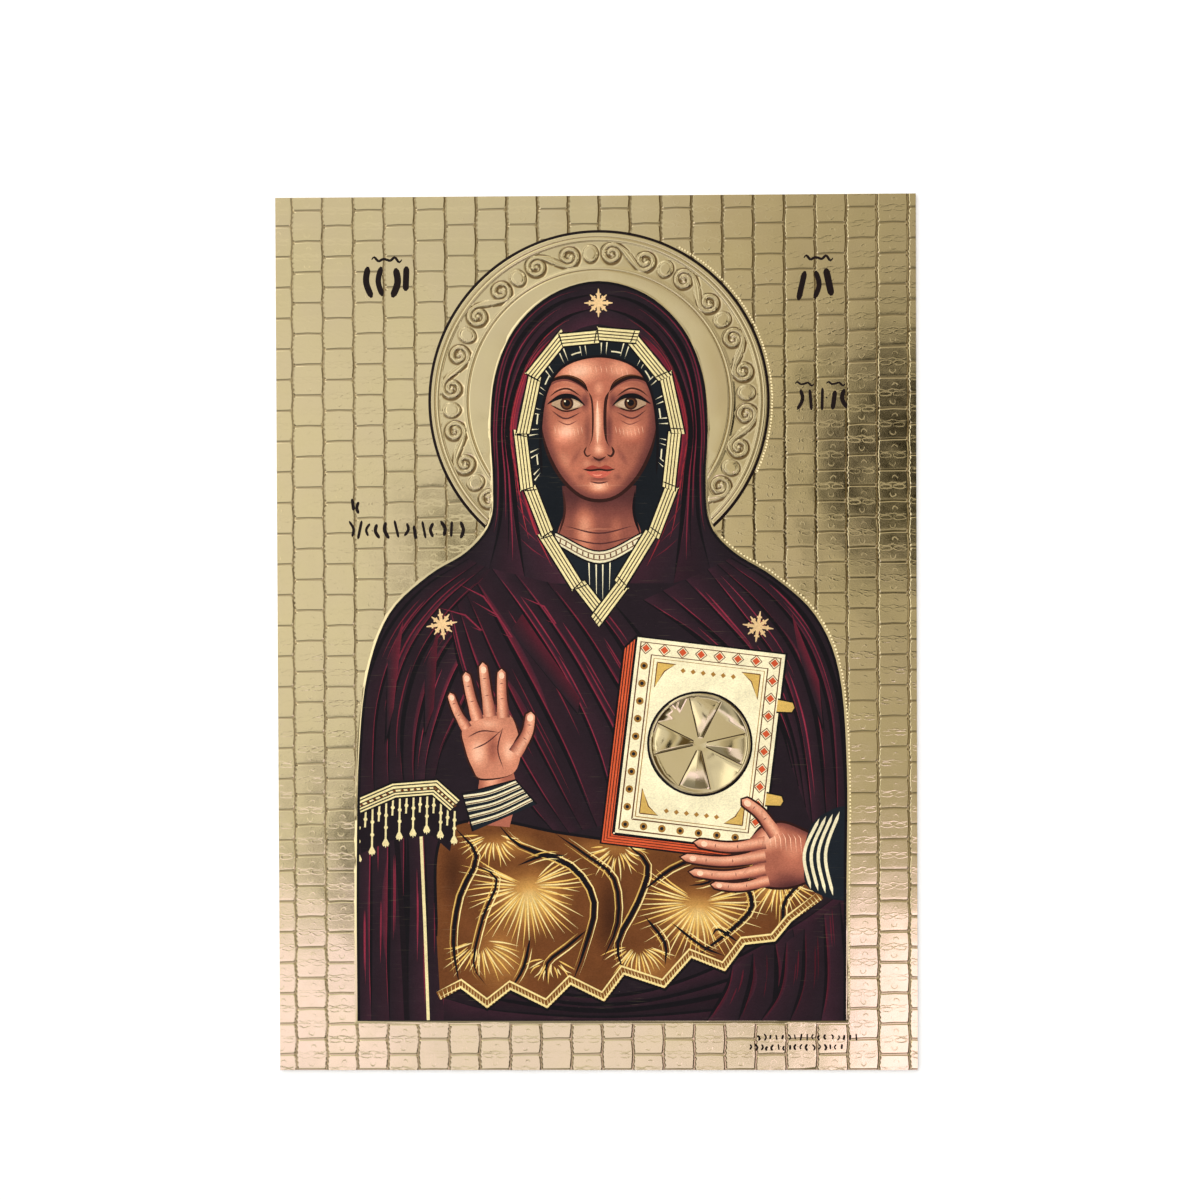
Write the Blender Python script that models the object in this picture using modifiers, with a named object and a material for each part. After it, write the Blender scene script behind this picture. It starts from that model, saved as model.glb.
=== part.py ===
"""An embossed icon sheet: gold foil on stiff card, pressed into low relief, lying face up.

The picture's top points to +Y and its face to +Z. The origin is the middle of the underside.
The relief is a staggered tile ground, a halo with a scrolled band, and the raised plate of a
haloed figure, whose book carries a small cross roundel.
"""

import math

import bmesh
import bpy
from mathutils import Matrix, Vector

MM = 0.001

# Sheet
SHEET_WIDTH = 190 * MM
SHEET_HEIGHT = 260 * MM
CARD_THICKNESS = 1.0 * MM

# Tile ground: square tiles in columns, each column half a tile lower than the last
TILE_PITCH = 9.14 * MM
TILE_RELIEF = 0.2 * MM
SEAM_HALF_WIDTH = 0.45 * MM
SEAM_WAVE = 0.25 * MM
FIRST_SEAM_FROM_LEFT = 4.9 * MM
FIRST_SEAM_FROM_TOP = 4.0 * MM

# Halo, from its contour groove inwards
HALO_RADIUS = 50.7 * MM
HALO_STEPS = 60
HALO_RIM_WIDTH = 2.9 * MM
SCROLL_BAND_WIDTH = 7.0 * MM
INNER_RIM_WIDTH = 1.6 * MM
RIM_SLOPE = 0.3 * MM
RIM_RELIEF = 0.5 * MM
RIM_GROOVE_DEPTH = 0.15 * MM
FIELD_RELIEF = 0.3 * MM
BAND_RELIEF = 0.15 * MM
SCROLL_RELIEF = 0.45 * MM
SCROLL_CLEARANCE = 0.3 * MM
SCROLL_LINE = 0.7 * MM
ORNAMENT_GAP = 1.0 * MM
OVAL_STEPS = 10

# Proportions of the band's ornaments, in shares of a spiral's radius or of a scroll's length
OVAL_HALF_WIDTH = 0.68
OVAL_HALF_HEIGHT = 0.8
SPIRAL_CENTRE = 1.57
SPIRAL_TURNS = 1.3
SPIRAL_START = math.radians(-125)
SPIRAL_TIGHTENING = 0.68
SPIRAL_STEPS = 9
STEM_REACH = 0.12
STEM_SWELL = 0.8

# Figure plate, whose outline is in shares of its height
SIDE_MARGIN = 22 * MM
BOTTOM_MARGIN = 14.7 * MM
TOP_MARGIN = 25.3 * MM
FIGURE_OFFSET = 1.0 * MM
FIGURE_RELIEF = 0.35 * MM
CONTOUR_WIDTH = 0.5 * MM
CONTOUR_DEPTH = 0.1 * MM
HEAD_HEIGHT_SHARE = 0.838
OUTLINE_STEPS = 3

# Cross roundel on the book
ROUNDEL_RADIUS = 15 * MM
ROUNDEL_STEPS = 32
ROUNDEL_LINE = 0.9 * MM
ROUNDEL_RELIEF = 0.2 * MM
ROUNDEL_PLACE = (0.135, 0.375)
CROSS_ARM_HALF_ANGLE = math.radians(19)
BOOK_TILT = math.radians(-7)

# How deep a joined shape is sunk into what carries it
EMBED = 0.5 * MM
MERGE_DISTANCE = 0.00001

GOLD_COLOUR = (0.66, 0.54, 0.28, 1)
GOLD_ROUGHNESS = 0.28

# Right side of the figure from its base to the top of the veil, as (sideways, up)
RIGHT_OUTLINE = (
    (0.332, 0.000),
    (0.333, 0.180),
    (0.334, 0.340),
    (0.324, 0.470),
    (0.292, 0.548),
    (0.236, 0.600),
    (0.182, 0.634),
    (0.150, 0.672),
    (0.144, 0.730),
    (0.147, 0.800),
    (0.141, 0.872),
    (0.114, 0.936),
    (0.064, 0.982),
)
VEIL_TOP = (0.0, 1.000)
# Left side, from the top of the veil down to the base
LEFT_OUTLINE = (
    (-0.064, 0.982),
    (-0.114, 0.936),
    (-0.141, 0.872),
    (-0.147, 0.800),
    (-0.144, 0.730),
    (-0.148, 0.676),
    (-0.180, 0.636),
    (-0.232, 0.604),
    (-0.286, 0.552),
    (-0.316, 0.470),
    (-0.328, 0.360),
    (-0.332, 0.200),
    (-0.332, 0.000),
)


def empty_scene():
    for thing in list(bpy.data.objects):
        bpy.data.objects.remove(thing, do_unlink=True)


def new_collection(name):
    made = bpy.data.collections.new(name)
    bpy.context.scene.collection.children.link(made)
    return made


def gold_foil():
    material = bpy.data.materials.new("gold_foil")
    material.use_nodes = True
    shader = material.node_tree.nodes["Principled BSDF"]
    shader.inputs["Base Color"].default_value = GOLD_COLOUR
    shader.inputs["Metallic"].default_value = 1.0
    shader.inputs["Roughness"].default_value = GOLD_ROUGHNESS
    return material


def hide_helper(thing):
    thing.hide_render = True
    thing.display_type = "WIRE"


def object_from(name, mesh, collection):
    made = bpy.data.objects.new(name, mesh)
    collection.objects.link(made)
    return made


def fixed_mesh(thing, collection):
    """The object's evaluated shape as a plain mesh object of the same name, in its place."""
    bpy.context.view_layer.update()
    graph = bpy.context.evaluated_depsgraph_get()
    mesh = bpy.data.meshes.new_from_object(thing.evaluated_get(graph))
    mesh.transform(thing.matrix_world)
    name = thing.name
    bpy.data.objects.remove(thing, do_unlink=True)
    shape = bmesh.new()
    shape.from_mesh(mesh)
    bmesh.ops.remove_doubles(shape, verts=shape.verts[:], dist=MERGE_DISTANCE)
    bmesh.ops.recalc_face_normals(shape, faces=shape.faces[:])
    shape.to_mesh(mesh)
    shape.free()
    return object_from(name, mesh, collection)


def prism(name, outline, bottom, top, collection):
    """An upright solid on a flat outline, made as a filled curve."""
    curve = bpy.data.curves.new(name, "CURVE")
    curve.dimensions = "2D"
    curve.fill_mode = "BOTH"
    curve.extrude = (top - bottom) / 2
    line = curve.splines.new("POLY")
    line.points.add(len(outline) - 1)
    for point, (x, y) in zip(line.points, outline):
        point.co = (x, y, 0, 1)
    line.use_cyclic_u = True
    made = object_from(name, curve, collection)
    made.location.z = (top + bottom) / 2
    return fixed_mesh(made, collection)


def turned(name, profile, centre, steps, collection):
    """A solid of revolution from a profile of (radius, height) points."""
    mesh = bpy.data.meshes.new(name)
    points = [(radius, 0, height) for radius, height in profile]
    mesh.from_pydata(points, [(i, i + 1) for i in range(len(points) - 1)], [])
    made = object_from(name, mesh, collection)
    made.location = (centre.x, centre.y, 0)
    screw = made.modifiers.new("turn", "SCREW")
    screw.steps = screw.render_steps = steps
    screw.use_merge_vertices = True
    screw.merge_threshold = MERGE_DISTANCE
    return fixed_mesh(made, collection)


def joined(name, pieces, collection):
    """Separate closed shapes as one mesh, for a single Boolean."""
    shape = bmesh.new()
    for piece in pieces:
        shape.from_mesh(piece.data)
        bpy.data.objects.remove(piece, do_unlink=True)
    mesh = bpy.data.meshes.new(name)
    shape.to_mesh(mesh)
    shape.free()
    return object_from(name, mesh, collection)


def boolean(thing, operation, other):
    modifier = thing.modifiers.new(other.name, "BOOLEAN")
    modifier.operation = operation
    modifier.object = other
    modifier.solver = "EXACT"
    hide_helper(other)


def smooth_line(points, steps):
    """Points on a curve through all the given ones, which keeps the first and last in place."""
    padded = [points[0], *points, points[-1]]
    line = []
    for before, start, end, after in zip(padded, padded[1:], padded[2:], padded[3:]):
        for i in range(steps):
            t = i / steps
            line.append(
                start
                + (end - before) * (t / 2)
                + (2 * before - 5 * start + 4 * end - after) * (t * t / 2)
                + (3 * start - before - 3 * end + after) * (t**3 / 2)
            )
    line.append(points[-1])
    return line


def widened(outline, distance):
    """A closed outline, run anticlockwise, with each of its sides moved outwards."""
    moved = []
    for i, here in enumerate(outline):
        into = (here - outline[i - 1]).normalized()
        out = (outline[(i + 1) % len(outline)] - here).normalized()
        first, second = Vector((into.y, -into.x)), Vector((out.y, -out.x))
        corner = (first + second).normalized()
        moved.append(here + corner * (distance / corner.dot(second)))
    return moved


def figure_height():
    return SHEET_HEIGHT - TOP_MARGIN - BOTTOM_MARGIN


def figure_point(share):
    """A place on the figure from its (sideways, up) shares."""
    height = figure_height()
    widest = max(x for x, _ in RIGHT_OUTLINE) - min(x for x, _ in LEFT_OUTLINE)
    width = SHEET_WIDTH - 2 * SIDE_MARGIN
    return Vector((
        FIGURE_OFFSET + share[0] * width / widest,
        BOTTOM_MARGIN - SHEET_HEIGHT / 2 + share[1] * height,
    ))


def figure_outline():
    shares = [*RIGHT_OUTLINE, VEIL_TOP, *LEFT_OUTLINE]
    return smooth_line([figure_point(share) for share in shares], OUTLINE_STEPS)


def tile_grid():
    """A flat grid of half tiles that covers the sheet, with the spare seams dissolved."""
    columns = math.ceil((SHEET_WIDTH - FIRST_SEAM_FROM_LEFT) / TILE_PITCH) + 1
    rows = math.ceil((SHEET_HEIGHT - FIRST_SEAM_FROM_TOP) / (TILE_PITCH / 2)) + 3
    left = FIRST_SEAM_FROM_LEFT - SHEET_WIDTH / 2 - TILE_PITCH
    top = SHEET_HEIGHT / 2 - FIRST_SEAM_FROM_TOP + TILE_PITCH
    width, height = columns * TILE_PITCH, rows * TILE_PITCH / 2
    place = Matrix.Translation((left + width / 2, top - height / 2, CARD_THICKNESS))
    shape = bmesh.new()
    bmesh.ops.create_grid(
        shape,
        x_segments=columns,
        y_segments=rows,
        size=0.5,
        matrix=place @ Matrix.Diagonal((width, height, 1, 1)),
    )

    def column_of(x):
        return round((x - left) / TILE_PITCH)

    def row_of(y):
        return round((top - y) / (TILE_PITCH / 2))

    spare = []
    for edge in shape.edges:
        a, b = (vert.co for vert in edge.verts)
        level = abs(a.y - b.y) < TILE_PITCH / 8
        kept = (column_of(min(a.x, b.x)) + row_of(a.y)) % 2
        if level and not kept and not edge.is_boundary:
            spare.append(edge)
    for vert in shape.verts:
        turn = 1 if (column_of(vert.co.x) + row_of(vert.co.y)) % 2 else -1
        vert.co.x += turn * SEAM_WAVE
    bmesh.ops.dissolve_edges(shape, edges=spare, use_verts=False)
    return shape


def tiled_sheet(collection):
    """The sheet with its whole face tiled: sloping sides run from each seam up to a flat tile."""
    shape = tile_grid()
    bmesh.ops.inset_individual(
        shape, faces=shape.faces[:], thickness=SEAM_HALF_WIDTH, depth=TILE_RELIEF
    )
    for side in (Vector((1, 0, 0)), Vector((-1, 0, 0)), Vector((0, 1, 0)), Vector((0, -1, 0))):
        edge = Vector((side.x * SHEET_WIDTH / 2, side.y * SHEET_HEIGHT / 2, 0))
        bmesh.ops.bisect_plane(
            shape,
            geom=[*shape.verts, *shape.edges, *shape.faces],
            plane_co=edge,
            plane_no=side,
            clear_outer=True,
        )
    rim = [edge for edge in shape.edges if edge.is_boundary]
    skirt = bmesh.ops.extrude_edge_only(shape, edges=rim)["geom"]
    for vert in (part for part in skirt if isinstance(part, bmesh.types.BMVert)):
        vert.co.z = 0
    lower = [edge for edge in shape.edges if edge.is_boundary]
    bmesh.ops.contextual_create(shape, geom=lower)
    bmesh.ops.recalc_face_normals(shape, faces=shape.faces[:])
    mesh = bpy.data.meshes.new("embossed_panel")
    shape.to_mesh(mesh)
    shape.free()
    return object_from("embossed_panel", mesh, collection)


def halo_radii():
    """The halo's ring borders, from outside in."""
    rim = HALO_RADIUS - CONTOUR_WIDTH
    band = rim - HALO_RIM_WIDTH
    inner_rim = band - SCROLL_BAND_WIDTH
    field = inner_rim - INNER_RIM_WIDTH
    return rim, band, inner_rim, field


def halo_disc(centre, collection):
    rim, band, inner_rim, field = halo_radii()
    middle = (rim + band) / 2
    face = CARD_THICKNESS
    profile = [
        (0, face + FIELD_RELIEF),
        (field, face + FIELD_RELIEF),
        (field + RIM_SLOPE, face + RIM_RELIEF),
        (inner_rim - RIM_SLOPE, face + RIM_RELIEF),
        (inner_rim, face + BAND_RELIEF),
        (band, face + BAND_RELIEF),
        (band + RIM_SLOPE, face + RIM_RELIEF),
        (middle - RIM_SLOPE, face + RIM_RELIEF),
        (middle, face + RIM_RELIEF - RIM_GROOVE_DEPTH),
        (middle + RIM_SLOPE, face + RIM_RELIEF),
        (rim - RIM_SLOPE, face + RIM_RELIEF),
        (rim, face + BAND_RELIEF),
        (rim, face - EMBED),
        (0, face - EMBED),
    ]
    return turned("halo", profile, centre, HALO_STEPS, collection)


def halo_contour(centre, collection):
    """The cutter of the groove that rings the halo."""
    profile = [
        (0, CARD_THICKNESS + 2 * RIM_RELIEF),
        (HALO_RADIUS, CARD_THICKNESS + 2 * RIM_RELIEF),
        (HALO_RADIUS, CARD_THICKNESS - CONTOUR_DEPTH),
        (0, CARD_THICKNESS - CONTOUR_DEPTH),
    ]
    return turned("halo_contour", profile, centre, HALO_STEPS, collection)


def spiral_radius():
    return SCROLL_BAND_WIDTH / 2 - SCROLL_CLEARANCE


def scroll_line():
    """One S-scroll's middle line, along and across the band: two spirals and the stem between."""
    reach = spiral_radius() - SCROLL_LINE / 2
    centre = Vector((SPIRAL_CENTRE * spiral_radius(), 0))
    points = []
    for i in range(SPIRAL_STEPS + 1):
        share = i / SPIRAL_STEPS
        angle = SPIRAL_START + share * SPIRAL_TURNS * math.tau
        radius = reach * (1 - SPIRAL_TIGHTENING * share)
        points.append(centre + radius * Vector((math.cos(angle), math.sin(angle))))
    return [-point for point in reversed(points)] + [Vector((0, 0))] + points


def ribbon_outline(line, width_at):
    """The closed outline of a strip on a line, with its own width at each share of the way."""
    left, right = [], []
    for i, here in enumerate(line):
        before, after = line[max(i - 1, 0)], line[min(i + 1, len(line) - 1)]
        along = (after - before).normalized()
        across = Vector((-along.y, along.x)) * width_at(i / (len(line) - 1)) / 2
        left.append(here + across)
        right.append(here - across)
    return right + left[::-1]


def scroll_width(share):
    """The strip's width at a share of its length, widest in the middle of the stem."""
    stem = max(0.0, 1 - abs(share - 0.5) / STEM_REACH)
    return SCROLL_LINE * (1 + STEM_SWELL * stem)


def on_band(point, angle, centre, radius):
    """A point given along and across the band, set out on the halo."""
    turn = angle - point.x / radius
    return centre + (radius + point.y) * Vector((math.cos(turn), math.sin(turn)))


def band_ornaments(centre, collection):
    """S-scrolls and ovals in turn round the band."""
    _, band, inner_rim, _ = halo_radii()
    radius = (band + inner_rim) / 2
    oval = Vector((OVAL_HALF_WIDTH, OVAL_HALF_HEIGHT)) * spiral_radius()
    module = 2 * ((SPIRAL_CENTRE + 1) * spiral_radius() + oval.x + ORNAMENT_GAP)
    count = math.floor(math.tau * radius / module)
    low, high = CARD_THICKNESS, CARD_THICKNESS + SCROLL_RELIEF
    strip = ribbon_outline(scroll_line(), scroll_width)
    ring = [
        Vector((oval.x * math.cos(a), oval.y * math.sin(a)))
        for a in (math.tau * i / OVAL_STEPS for i in range(OVAL_STEPS))
    ]
    pieces = []
    for i in range(count):
        oval_angle = math.pi / 2 + math.tau * i / count
        scroll_angle = oval_angle + math.pi / count
        for name, outline, angle in (("oval", ring, oval_angle), ("scroll", strip, scroll_angle)):
            placed = [on_band(point, angle, centre, radius) for point in outline]
            pieces.append(prism(f"{name}_{i}", placed, low, high, collection))
    return joined("band_ornaments", pieces, collection)


def cross_roundel(collection):
    """The raised rim and the four flared cross arms on the book's cover."""
    centre = figure_point(ROUNDEL_PLACE)
    base = CARD_THICKNESS + FIGURE_RELIEF
    top = base + ROUNDEL_RELIEF
    inside = ROUNDEL_RADIUS - ROUNDEL_LINE
    middle = ROUNDEL_RADIUS - ROUNDEL_LINE / 2
    profile = [
        (inside, base - ROUNDEL_RELIEF),
        (inside, base),
        (middle, top),
        (ROUNDEL_RADIUS, base),
        (ROUNDEL_RADIUS, base - ROUNDEL_RELIEF),
        (inside, base - ROUNDEL_RELIEF),
    ]
    pieces = [turned("roundel_rim", profile, centre, ROUNDEL_STEPS, collection)]
    tip, root = inside - ROUNDEL_LINE, 2 * ROUNDEL_LINE
    for i in range(4):
        arm = []
        for reach, turn in ((root, -1), (tip, -1), (tip, 0), (tip, 1), (root, 1)):
            angle = BOOK_TILT + i * math.pi / 2 + turn * CROSS_ARM_HALF_ANGLE
            arm.append(centre + reach * Vector((math.cos(angle), math.sin(angle))))
        pieces.append(
            prism(f"cross_arm_{i}", arm, base - ROUNDEL_RELIEF, base + ROUNDEL_RELIEF / 2, collection)
        )
    return joined("cross_roundel", pieces, collection)


def build():
    empty_scene()
    panel_parts = new_collection("icon_panel")
    cutters = new_collection("cutters")
    head = figure_point((0, HEAD_HEIGHT_SHARE))
    outline = figure_outline()

    halo = halo_disc(head, cutters)
    boolean(halo, "UNION", band_ornaments(head, cutters))
    contour = prism(
        "figure_contour",
        widened(outline, CONTOUR_WIDTH),
        CARD_THICKNESS - CONTOUR_DEPTH,
        CARD_THICKNESS + 2 * RIM_RELIEF,
        cutters,
    )
    plate = prism(
        "figure_plate",
        outline,
        CARD_THICKNESS - EMBED,
        CARD_THICKNESS + FIGURE_RELIEF,
        cutters,
    )
    boolean(plate, "UNION", cross_roundel(cutters))

    panel = tiled_sheet(panel_parts)
    boolean(panel, "DIFFERENCE", halo_contour(head, cutters))
    boolean(panel, "UNION", halo)
    boolean(panel, "DIFFERENCE", contour)
    boolean(panel, "UNION", plate)
    panel.data.materials.append(gold_foil())


build()
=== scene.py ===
"""Looks of the embossed icon sheet: gold foil pressed over card, printed with a seated saint.

Shapes are worked out in millimetres on the sheet's own face: x runs to the picture's right, y to
its top, and the origin is the sheet's middle. They turn into metres where a mesh is made.
"""

import math

import bmesh
import bpy
import numpy as np
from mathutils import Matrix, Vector, geometry


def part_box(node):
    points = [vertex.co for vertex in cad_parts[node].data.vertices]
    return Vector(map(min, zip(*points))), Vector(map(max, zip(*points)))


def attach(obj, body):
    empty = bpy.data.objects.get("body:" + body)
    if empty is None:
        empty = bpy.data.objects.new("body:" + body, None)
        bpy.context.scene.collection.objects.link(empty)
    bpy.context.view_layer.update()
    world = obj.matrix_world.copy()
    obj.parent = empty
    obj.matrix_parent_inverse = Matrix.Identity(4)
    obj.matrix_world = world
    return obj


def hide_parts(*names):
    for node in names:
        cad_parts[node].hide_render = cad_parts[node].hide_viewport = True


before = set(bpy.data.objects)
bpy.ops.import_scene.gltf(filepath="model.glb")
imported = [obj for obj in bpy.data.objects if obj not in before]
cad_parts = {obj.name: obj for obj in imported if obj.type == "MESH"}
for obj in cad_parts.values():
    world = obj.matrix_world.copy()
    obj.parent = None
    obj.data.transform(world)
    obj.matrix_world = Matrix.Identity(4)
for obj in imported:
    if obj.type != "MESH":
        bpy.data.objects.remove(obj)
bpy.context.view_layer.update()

MM = 0.001
TAU = math.tau
SHEET_LOW, SHEET_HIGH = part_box("embossed_panel")
HALF_WIDTH = SHEET_HIGH.x / MM
HALF_HEIGHT = SHEET_HIGH.y / MM

# Levels above the table
SEAM_FLOOR = 1.0
TILE_TOP = 1.2
SUNK = 0.9
HALO_FOOT = 1.16
PLATE_TOP = 1.35
CROSS_TOP = 1.45
ROUNDEL_RIM_TOP = 1.53

# Tile ground
TILE = 9.14
FIRST_SEAM_X = 4.9 - HALF_WIDTH
FIRST_SEAM_Y = HALF_HEIGHT - 4.05
SEAM_WAVE = 0.13
SEAM_SCALLOP = 0.10
CORNER = (1.3, 0.26)
TILE_CROWN = 0.004
TILE_TILT = 0.0014
ACROSS_SEAM = (0.15, 0.34, 0.50, 0.95)
ALONG_SEAM = (0.16, 0.48, 0.88, 1.3, 1.76)
# Depth below the tiles' tops, by the distance from an upright seam's middle and from a level one's
UPRIGHT_SEAM = ((-0.46, 0.0), (-0.15, 0.108), (0.15, 0.124), (0.34, 0.042), (0.50, 0.0))
LEVEL_SEAM = ((-0.44, 0.0), (-0.16, 0.1), (0.16, 0.104), (0.50, 0.0))

# Halo
HEAD = np.array((1.0, 69.1))
HALO_RADIUS = 50.7
HALO_LINE = 0.85
BAND_MIDDLE = 43.8
ORNAMENT_BAND = (40.4, 47.2)
ORNAMENT_RELIEF = 0.22
ORNAMENTS = 12
SPIRAL_REACH = 2.95
SPIRAL_CENTRE = 5.0
OVAL = (2.15, 2.5)
HALO_PROFILE = (
    (29.0, 1.30), (38.72, 1.30), (38.9, 1.17), (39.08, 1.33), (39.4, 1.36), (39.75, 1.33), (39.93, 1.20),
    (40.15, 1.19), (40.5, 1.15), (47.3, 1.15), (47.62, 1.44), (48.0, 1.45), (48.42, 1.43), (48.6, 1.31),
    (48.78, 1.46), (49.2, 1.475), (49.35, 1.445), (49.5, 1.475), (49.86, 1.47), (50.05, 1.27), (50.7, 1.25),
)

# Figure, in the same shares of its height as the solid's outline
FIGURE_AXIS = 1.0
FIGURE_HALF_WIDTH = 73.0
FIGURE_FOOT = -115.3
FIGURE_HEIGHT = 220.0
RIGHT_SIDE = (
    (0.332, 0.000), (0.333, 0.180), (0.334, 0.340), (0.324, 0.470), (0.292, 0.548),
    (0.236, 0.600), (0.182, 0.634), (0.150, 0.672), (0.144, 0.730), (0.147, 0.800),
    (0.141, 0.872), (0.114, 0.936), (0.064, 0.982),
)
VEIL_TOP = (0.0, 1.0)
LEFT_SIDE = (
    (-0.064, 0.982), (-0.114, 0.936), (-0.141, 0.872), (-0.147, 0.800), (-0.144, 0.730),
    (-0.148, 0.676), (-0.180, 0.636), (-0.232, 0.604), (-0.286, 0.552), (-0.316, 0.470),
    (-0.328, 0.360), (-0.332, 0.200), (-0.332, 0.000),
)


def srgb(red, green, blue):
    """A colour seen on a screen, as the linear values that shaders use."""
    return np.array([((c / 255 + 0.055) / 1.055) ** 2.4 for c in (red, green, blue)])


BLACK = srgb(13, 9, 13)
NIGHT = srgb(30, 20, 26)
PLUM = srgb(54, 26, 37)
WINE = srgb(98, 27, 43)
CRIMSON = srgb(168, 46, 56)
BROWN = srgb(58, 27, 21)
UMBER = srgb(96, 56, 28)
OCHRE = srgb(160, 116, 52)
STRAW = srgb(214, 176, 92)
SUN = srgb(244, 220, 146)
CREAM = srgb(235, 224, 184)
VERMILION = srgb(204, 84, 46)
TRIM_GOLD = srgb(236, 220, 160)
RUBY = srgb(124, 36, 54)
MIDNIGHT = srgb(20, 26, 32)
FLESH = (
    (0.0, srgb(78, 40, 38)), (0.25, srgb(122, 66, 56)), (0.5, srgb(174, 102, 78)),
    (0.75, srgb(214, 144, 112)), (1.0, srgb(242, 192, 160)),
)
FOIL = np.array((0.66, 0.545, 0.30))

# The room as the foil mirrors it: brightness by the angle to the sheet's upright, in degrees
WARM = np.array((1.0, 0.94, 0.80))
BRONZE = np.array((1.0, 0.72, 0.36))
LIGHT_ACROSS = (
    (-85, 1.3), (-62, 1.4), (-56, 1.05), (-45, 1.0), (-40, 0.35 * WARM), (-30, 0.28 * WARM), (-27, 1.85),
    (-18, 1.7), (-14.5, 1.06), (-8, 1.0), (-2, 0.94), (3, 0.77 * WARM), (8, 0.62 * WARM), (13, 0.60 * WARM),
    (17, 0.95 * WARM), (22, 0.8), (27, 0.16 * BRONZE), (42, 0.13 * BRONZE), (46, 0.9 * WARM),
    (56, 0.95 * WARM), (63, 0.2 * BRONZE), (85, 0.1 * BRONZE),
)
LIGHT_UP = (
    (-85, 0.25), (-60, 0.3), (-50, 0.5), (-40, 0.38), (-28, 0.36), (-21, 0.42), (-18, 0.85), (-14, 1.05),
    (-9, 1.0), (0, 1.0), (6, 0.99), (10.5, 0.87), (17, 1.0), (30, 0.95), (50, 0.88), (66, 1.35), (85, 1.2),
)
HORIZON = (1.0, 0.98, 0.94)
# Patches of the room: middle and half sizes as slopes across and up, and the light there
PATCHES = (
    (0.00, -0.270, 0.60, 0.064, (1.26, 1.19, 1.50)),
    (0.152, -0.254, 0.052, 0.084, (2.15, 1.86, 2.75)),
    (-0.20, -0.232, 0.080, 0.052, (1.62, 1.46, 2.05)),
    (0.180, 0.064, 0.079, 0.062, (0.006, 0.004, 0.0)),
    (-0.136, -0.139, 0.024, 0.040, (0.02, 0.015, 0.005)),
    (-0.082, 0.016, 0.026, 0.028, (0.13, 0.11, 0.08)),
    (0.088, -0.2355, 0.034, 0.009, (0.42, 0.38, 0.22)),
)

# Finishes of the printed face, by material slot
INK, GILT, BARE = 0, 1, 2

# Brush work: points along a fold and a finger, hatch lines on a lit panel, a fingertip's share of its root
FOLD_STEPS = 28
FINGER_STEPS = 14
HATCHES = 9
FINGERTIP = 0.8
STROKE_LEAN = 0.12

# The photo's pixels to a millimetre, and its pixel over the sheet's middle
PHOTO_PIXELS = 3.3605
PHOTO_MIDDLE = (598, 633.5)

# Camera and soft light, in millimetres and degrees
CAMERA_ANGLE = 35
CAMERA_PLACE = (9.73, 16.0, 566.65)
CAMERA_TURN = (-0.604, 0.871, -0.230)
FILL_TURN = (-24, -26, 0)


# Lines and outlines

def smooth(points, steps=6, closed=False):
    """A curve through all the given points."""
    p = np.asarray(points, float)
    if closed:
        padded = np.vstack([p[-1], p, p[:2]])
    else:
        padded = np.vstack([2 * p[0] - p[1], p, 2 * p[-1] - p[-2]])
    t = (np.arange(steps) / steps)[:, None]
    spans = [
        b + (c - a) * t / 2 + (2 * a - 5 * b + 4 * c - d) * t**2 / 2 + (3 * b - a - 3 * c + d) * t**3 / 2
        for a, b, c, d in zip(padded, padded[1:], padded[2:], padded[3:])
    ]
    line = np.vstack(spans)
    return line if closed else np.vstack([line, p[-1]])


def evenly(line, count):
    """The same line with evenly spaced points."""
    line = np.asarray(line, float)
    lengths = np.hypot(*np.diff(line, axis=0).T)
    reached = np.concatenate([[0], np.cumsum(lengths)])
    wanted = np.linspace(0, reached[-1], count)
    return np.column_stack([np.interp(wanted, reached, line[:, k]) for k in (0, 1)])


def sideways(line):
    """At each point of a line, the unit vector to its left."""
    ahead = np.gradient(np.asarray(line, float), axis=0)
    ahead /= np.maximum(np.hypot(*ahead.T), 1e-9)[:, None]
    return np.column_stack([-ahead[:, 1], ahead[:, 0]])


def shifted(line, distance):
    return np.asarray(line, float) + sideways(line) * distance


def between(first, last, share):
    return np.asarray(first) + (np.asarray(last) - np.asarray(first)) * share


def mirrored(points):
    return np.asarray(points, float) * (-1, 1) + (2 * FIGURE_AXIS, 0)


def placed(points, centre, turn=0.0, size=1.0):
    """Points drawn about their own middle, turned and moved to a place on the sheet."""
    c, s = math.cos(turn), math.sin(turn)
    return np.asarray(points, float) @ np.array(((c, s), (-s, c))) * size + np.asarray(centre)


def circle(radius, steps):
    angles = TAU * np.arange(steps) / steps
    return radius * np.column_stack([np.cos(angles), np.sin(angles)])


def disc(centre, radius, steps):
    return placed(circle(radius, steps), centre)


def diamond(centre, wide, high):
    return placed([(-wide, 0), (0, -high), (wide, 0), (0, high)], centre)


def looped(outline):
    """A closed outline as a line that ends where it starts."""
    return np.vstack([outline, outline[:1]])


def distance_to(line, spots):
    """Each spot's distance to a line."""
    a, b = np.asarray(line)[:-1], np.asarray(line)[1:]
    best = np.full(len(spots), np.inf)
    for start, end in zip(a, b):
        way = end - start
        share = np.clip((spots - start) @ way / max(way @ way, 1e-12), 0, 1)
        best = np.minimum(best, np.hypot(*(spots - start - share[:, None] * way).T))
    return best


def inside(outline, spots):
    """Which of the spots lie inside a closed outline."""
    within = np.zeros(len(spots), bool)
    x, y = spots.T
    for (ax, ay), (bx, by) in zip(outline, np.roll(outline, -1, axis=0)):
        if ay != by:
            crosses = (ay > y) != (by > y)
            within ^= crosses & (x < ax + (bx - ax) * (y - ay) / (by - ay))
    return within


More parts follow.
